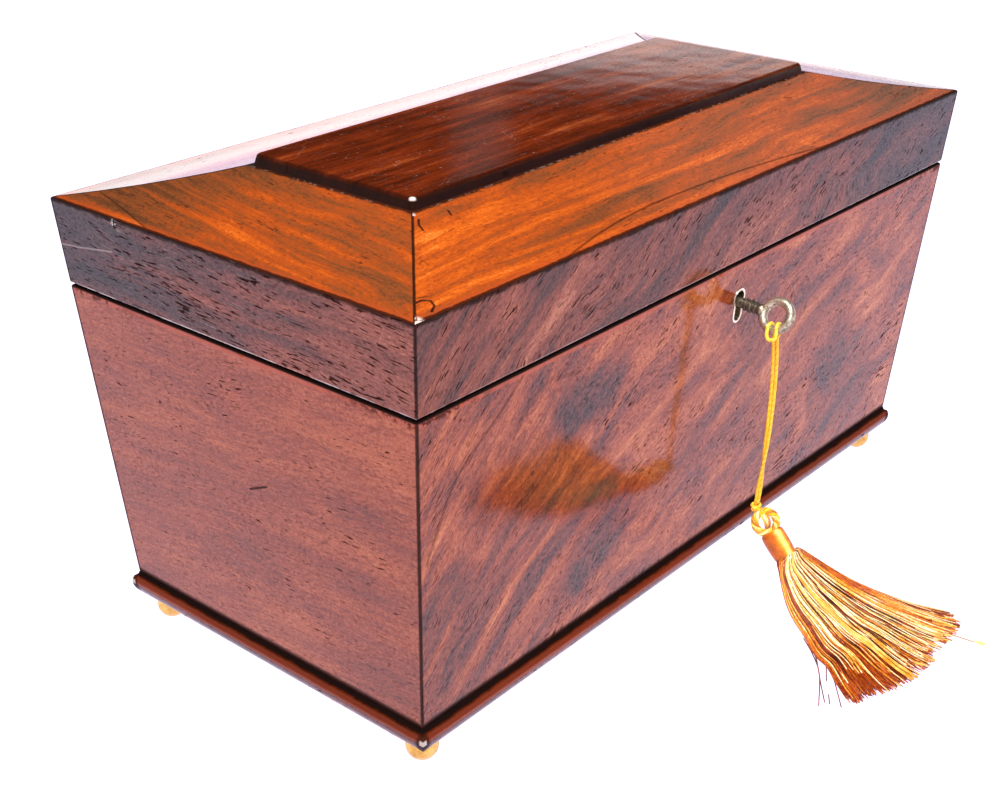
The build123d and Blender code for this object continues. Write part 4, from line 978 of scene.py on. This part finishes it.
def thread(sx, h, length=1.0, wave=0.6, seed=0, lateral=0.0):
    """One thread: sx 0 to 1 across the fan, h 0 to 1 from the underside to the top of the pile."""
    r = random.Random(seed)
    ease = sx
    path = (1 - ease) * left_s + ease * right_s
    e = end_line[min(199, max(0, int(sx * 199)))]
    end_now = path[-1].copy()
    reach = np.array((e[0] - end_now[0], e[1] - end_now[1], 0.0))
    path = path + reach[None, :] * (tt ** 2.2)[:, None]
    # round section under the head, flattening to a thin lay on the surface
    ang = (sx - 0.5) * 2
    disc = math.sqrt(max(0.0, 1 - ang * ang))
    round_pos = foot_c + np.array((3.75 * ang, 0, 0)) + side_n * (3.75 * disc * (2 * h - 1))
    k0 = np.clip(1 - tt / 0.16, 0, 1)
    k0 = k0 * k0 * (3 - 2 * k0)
    thick = 3.4 * (1 - np.clip(tt / 0.62, 0, 1)) ** 1.2 + 1.15 * (0.25 + 0.75 * np.clip(1.6 - tt, 0, 1))
    mound = thick * (0.35 + 0.65 * math.sqrt(max(0.0, 1 - (1.02 * ang) ** 2)))
    drop = np.clip(path[:, 2] - 1.2, 0, None)
    z = path[:, 2] - 1.2 * (1 - h) * 0 + (h - 0.75) * mound
    crown = 1.9 * np.sin(np.clip(tt / 0.9, 0, 1) * math.pi) * (1 - ang * ang)
    path[:, 2] = np.maximum(z + crown * h, 0.28)
    path = path * (1 - k0[:, None]) + (round_pos + (path - path[0])) * k0[:, None]
    w1, w2 = r.uniform(0, 6.28), r.uniform(0, 6.28)
    a1, a2 = r.gauss(0, wave), r.gauss(0, wave * 0.4)
    bend = a1 * np.sin(tt * math.pi * r.uniform(0.7, 1.4) + w1) * tt + a2 * np.sin(tt * math.pi * 3 + w2) * tt
    across = np.gradient(path[:, :2], axis=0)
    across = np.stack([-across[:, 1], across[:, 0]], 1)
    across /= np.linalg.norm(across, axis=1)[:, None] + 1e-9
    hold = 1 - 0.75 * ease_in(abs(ang), 0.6, 1.0)
    path[:, :2] += across * ((bend + lateral * tt ** 2) * hold)[:, None]
    path[:, 2] += 0.35 * np.sin(tt * math.pi * 2 + w2) * tt * h
    path[:, 2] = np.maximum(path[:, 2], 0.25)
    if length < 1:
        path = resample(path, 60)[: max(8, int(60 * length))]
    return resample(path, 30)


def ease_in(x, lo, hi):
    k = np.clip((x - lo) / (hi - lo), 0, 1)
    return k * k * (3 - 2 * k)


def painted_shade_along(sx, h, tint, n=30):
    """Painted shade: the left of the fan is darkened low down, and the upper edge near the head; a painted glint
    ripples along each thread.
    """
    q = np.linspace(0, 1, n)
    low_left = ease_in(q, 0.44, 0.72) * (1 - ease_in(sx, 0.28, 0.50)) * (0.86 if h < 0.97 else 0.1)
    top_edge = (1 - 0.75 * ease_in(q, 0.50, 0.85)) * ease_in(sx, 0.74, 0.90)
    left_top = (1 - ease_in(q, 0.35, 0.75)) * (1 - ease_in(sx, 0.04, 0.20))
    k = np.clip(1 - 0.94 * low_left - 0.78 * top_edge - 0.50 * left_top, 0, 1)
    painted_glint = 1 + 0.22 * np.sin(q * rng.uniform(9.0, 22.0) + rng.uniform(0, 6.28))
    return np.clip(tint * k * painted_glint + 0.12 * low_left + 0.20 * top_edge + 0.18 * left_top, 0.0, 1.0)


skirt_mesh = Mesh()
# a dark underlay shows between the locks, its dark tint painted shade in the gaps
for i in range(230):
    sx = min(1.0, max(0.0, (i + rng.random()) / 230))
    h = 0.05 + 0.35 * rng.random()
    pts = thread(sx, h, 0.97 - abs(rng.gauss(0, 0.05)), 0.7, 5000 + i)
    skirt_mesh.tube([mm(q) for q in pts], 0.27 * MM, 5, painted_shade_along(sx, h, rng.uniform(0.05, 0.36)))
LOCKS = 62
for k in range(LOCKS):
    c = (k + rng.uniform(0.1, 0.9)) / LOCKS
    c = 0.5 + 0.5 * math.sin((c - 0.5) * math.pi) * 0.30 + (c - 0.5) * 0.70
    high = 0.35 + 0.60 * rng.random()
    reach_ = 1 - abs(rng.gauss(0, 0.05)) - (0.07 if rng.random() < 0.22 else 0.0)
    sway, width = rng.gauss(0, 1.5), rng.uniform(0.45, 1.0) / LOCKS
    mood = rng.gauss(0, 0.07)
    for j in range(rng.choice((10, 13, 16, 19))):
        sx = min(1.0, max(0.0, c + rng.gauss(0, width * 0.55)))
        h = min(0.96, max(0.1, high + rng.gauss(0, 0.07)))
        pts = thread(sx, h, reach_ - abs(rng.gauss(0, 0.022)), 0.95, 100 * k + j, sway + rng.gauss(0, 1.25))
        # cream and near-black picks stand for the sheen on the threads and the shade between them: painted highlight
        # and painted shade over the orange and gold
        pick = rng.random()
        tint = 0.98 if pick < 0.30 else 0.66 if pick < 0.46 else 0.40 if pick < 0.77 else 0.04
        tint = min(1.0, max(0.03, tint + mood + rng.uniform(-0.06, 0.06)))
        skirt_mesh.tube([mm(q) for q in pts], rng.uniform(0.13, 0.22) * MM, 5, painted_shade_along(sx, h, tint))
# loose threads that cross the others on top
for k in range(95):
    sx = rng.random()
    pts = thread(sx, 1.0, 1 - 0.30 * rng.random(), 0.9, 9000 + k, rng.gauss(0, 3.4) * min(1.0, 5 * sx * (1 - sx)))
    # cream and near-black picks again stand for painted highlight and painted shade
    tint = rng.choice((1.0, 0.95, 0.72, 0.45, 0.06, 0.06))
    skirt_mesh.tube([mm(q) + Vector((0, 0, 0.25 * MM)) for q in pts], rng.uniform(0.18, 0.26) * MM, 5, painted_shade_along(sx, 1.0, tint))
for sx, lat in ((0.37, -0.6), (0.375, -0.2), (0.385, 0.3), (0.39, 0.6)):
    pts = thread(sx, 1.0, 0.99, 0.10, 77, lat)
    skirt_mesh.tube([mm(q) + Vector((0, 0, 0.5 * MM)) for q in pts], 0.30 * MM, 6, 0.70)
# the dark strays at the lower left carry painted shade
stray = [([(-9.6, -120.2, 3.6), (-13.4, -125.9, 2.0), (-19.9, -132.5, 0.4), (-35.4, -141.2, 0.3)], 0.08),
         ([(-10.5, -122.5, 3.0), (-14.3, -127.9, 1.6), (-24.6, -135.8, 0.3), (-32.5, -141.7, 0.3)], 0.10),
         ([(-9.0, -123.0, 3.0), (-11.1, -129.5, 1.2), (-21.8, -136.3, 0.3)], 0.06),
         ([(-28, -140.6, 0.3), (-32.3, -143.4, 0.3)], 0.05),
         ([(-15.0, -133.8, 1.2), (-20.8, -138.8, 0.5), (-31.3, -147.1, 0.3)], 0.10),
         ([(28.0, -150.5, 1.2), (30.4, -158.0, 0.5), (31.2, -162.2, 0.3), (31.7, -164.6, 0.3)], 0.40)]
for ctrl, tint in stray:
    skirt_mesh.tube([mm(q) for q in smooth_line(ctrl, 26)], 0.21 * MM, 5, tint)
for k in range(11):
    q = 0.5 * k
    skirt_mesh.tube([mm(c) for c in smooth_line([(31.6, -163.9, 0.4), (31.8 + 0.55 * math.cos(q * 3), -165.4, 0.4 + 0.05 * k),
                                                 (32.2 + 1.7 * (k / 10 - 0.5), -167.2 + 0.5 * math.cos(q * 5), 0.3)], 10)], 0.26 * MM, 5, 0.90)
skirt_obj = skirt_mesh.build("tassel_threads", silk_skirt)

for o, node in ((knot_obj, "tassel_knot"), (ring_obj, "tassel_ring"), (head_obj, "tassel_head"), (skirt_obj, "tassel_skirt")):
    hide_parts(node)
    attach(o, "case")
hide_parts("key_cord")
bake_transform(cord_obj)

# ---- floor, light ------------------------------------------------------------------------------
bpy.ops.mesh.primitive_plane_add(size=24, location=(0, 0, 0))
floor = bpy.context.object
floor.name = "floor"
g = Graph("pale_floor")
tcf = g.node("ShaderNodeTexCoord")
sf = g.node("ShaderNodeSeparateXYZ", links={0: tcf.outputs["Object"]})
fx, fy = sf.outputs[0], sf.outputs[1]
dx = top(g, g.sub(fx, 0.22), g.sub(-0.14, fx), 0.0)
dy = top(g, g.sub(fy, 0.03), g.sub(-0.062, fy), 0.0)
away = g.m("SQRT", g.add(g.mul(dx, dx), g.mul(dy, dy)))
# one plain pale tone all over, bright enough to wash out to white, seen the same by the camera and in the polish
fl = g.node("ShaderNodeBsdfDiffuse")
fl.inputs[0].default_value = (0.19, 0.19, 0.19, 1.0)
em = g.node("ShaderNodeEmission")
em.inputs[0].default_value = (0.98, 0.88, 1.16, 1.0)
em.inputs[1].default_value = 1.22
ad = g.node("ShaderNodeAddShader", links={0: fl.outputs[0], 1: em.outputs[0]})
g.nt.links.new(ad.outputs[0], g.out.inputs[0])
floor.data.materials.append(g.mat)

world = bpy.data.worlds.new("studio")
bpy.context.scene.world = world
world.use_nodes = True
wt = world.node_tree
wt.nodes.clear()
wo = wt.nodes.new("ShaderNodeOutputWorld")
bg = wt.nodes.new("ShaderNodeBackground")
tcw = wt.nodes.new("ShaderNodeTexCoord")
sepw = wt.nodes.new("ShaderNodeSeparateXYZ")
wt.links.new(tcw.outputs["Generated"], sepw.inputs[0])
rw = wt.nodes.new("ShaderNodeValToRGB")
stops = ((0.0, 1.0), (0.17, 0.62), (0.228, 0.42), (0.252, 0.006), (0.80, 0.006), (1.0, 0.22))
while len(rw.color_ramp.elements) < len(stops):
    rw.color_ramp.elements.new(0.5)
for e, (pos, c) in zip(rw.color_ramp.elements, stops):
    e.position = pos
    e.color = (c, c, c * 1.03, 1)
wt.links.new(sepw.outputs[2], rw.inputs[0])


def toward(az, el, inner, outer, gain):
    """Soft round glow in a direction of the sky; azimuth from +y to +x, all in degrees."""
    az, el = math.radians(az), math.radians(el)
    dot = wt.nodes.new("ShaderNodeVectorMath")
    dot.operation = "DOT_PRODUCT"
    wt.links.new(tcw.outputs["Generated"], dot.inputs[0])
    dot.inputs[1].default_value = (math.sin(az) * math.cos(el), math.cos(az) * math.cos(el), math.sin(el))
    mr = wt.nodes.new("ShaderNodeMapRange")
    mr.interpolation_type = "SMOOTHSTEP"
    mr.inputs[1].default_value, mr.inputs[2].default_value = math.cos(math.radians(outer)), math.cos(math.radians(inner))
    mr.inputs[3].default_value, mr.inputs[4].default_value = 0.0, gain
    wt.links.new(dot.outputs["Value"], mr.inputs[0])
    return mr.outputs[0]


glows = [toward(70.0, 25.0, 2.0, 10.0, 0.15)] + [toward(49.0, e, 0.3, 1.6, 0.10) for e in (15.5, 17.0, 18.5)]
total = rw.outputs[0]
for k in glows:
    plus = wt.nodes.new("ShaderNodeMix")
    plus.data_type, plus.blend_type = "RGBA", "ADD"
    plus.inputs[0].default_value = 1.0
    wt.links.new(total, plus.inputs[6])
    wt.links.new(k, plus.inputs[7])
    total = plus.outputs[2]
wt.links.new(total, bg.inputs[0])
bg.inputs[1].default_value = 2.3
lp = wt.nodes.new("ShaderNodeLightPath")
white = wt.nodes.new("ShaderNodeBackground")
white.inputs[1].default_value = 1.1
mxw = wt.nodes.new("ShaderNodeMixShader")
wt.links.new(lp.outputs["Is Camera Ray"], mxw.inputs[0])
wt.links.new(bg.outputs[0], mxw.inputs[1])
wt.links.new(white.outputs[0], mxw.inputs[2])
wt.links.new(mxw.outputs[0], wo.inputs[0])


def area(name, loc, target, size, power, color=(1, 1, 1)):
    l = bpy.data.lights.new(name, "AREA")
    l.shape, l.size, l.energy, l.color = "SQUARE", size, power, color
    o = bpy.data.objects.new(name, l)
    o.location = loc
    o.rotation_mode = "QUATERNION"
    o.rotation_quaternion = (Vector(target) - Vector(loc)).to_track_quat("-Z", "Y")
    bpy.context.scene.collection.objects.link(o)
    return o


area("key_light", (-0.30, -0.26, 0.85), (-0.03, 0, 0.1), 0.5, 13.0)
area("fill_light", (-1.3, -1.5, 0.9), (0, 0, 0.08), 0.9, 5.0)

# ---- finish -------------------------------------------------------------------------------------
bpy.context.view_layer.update()
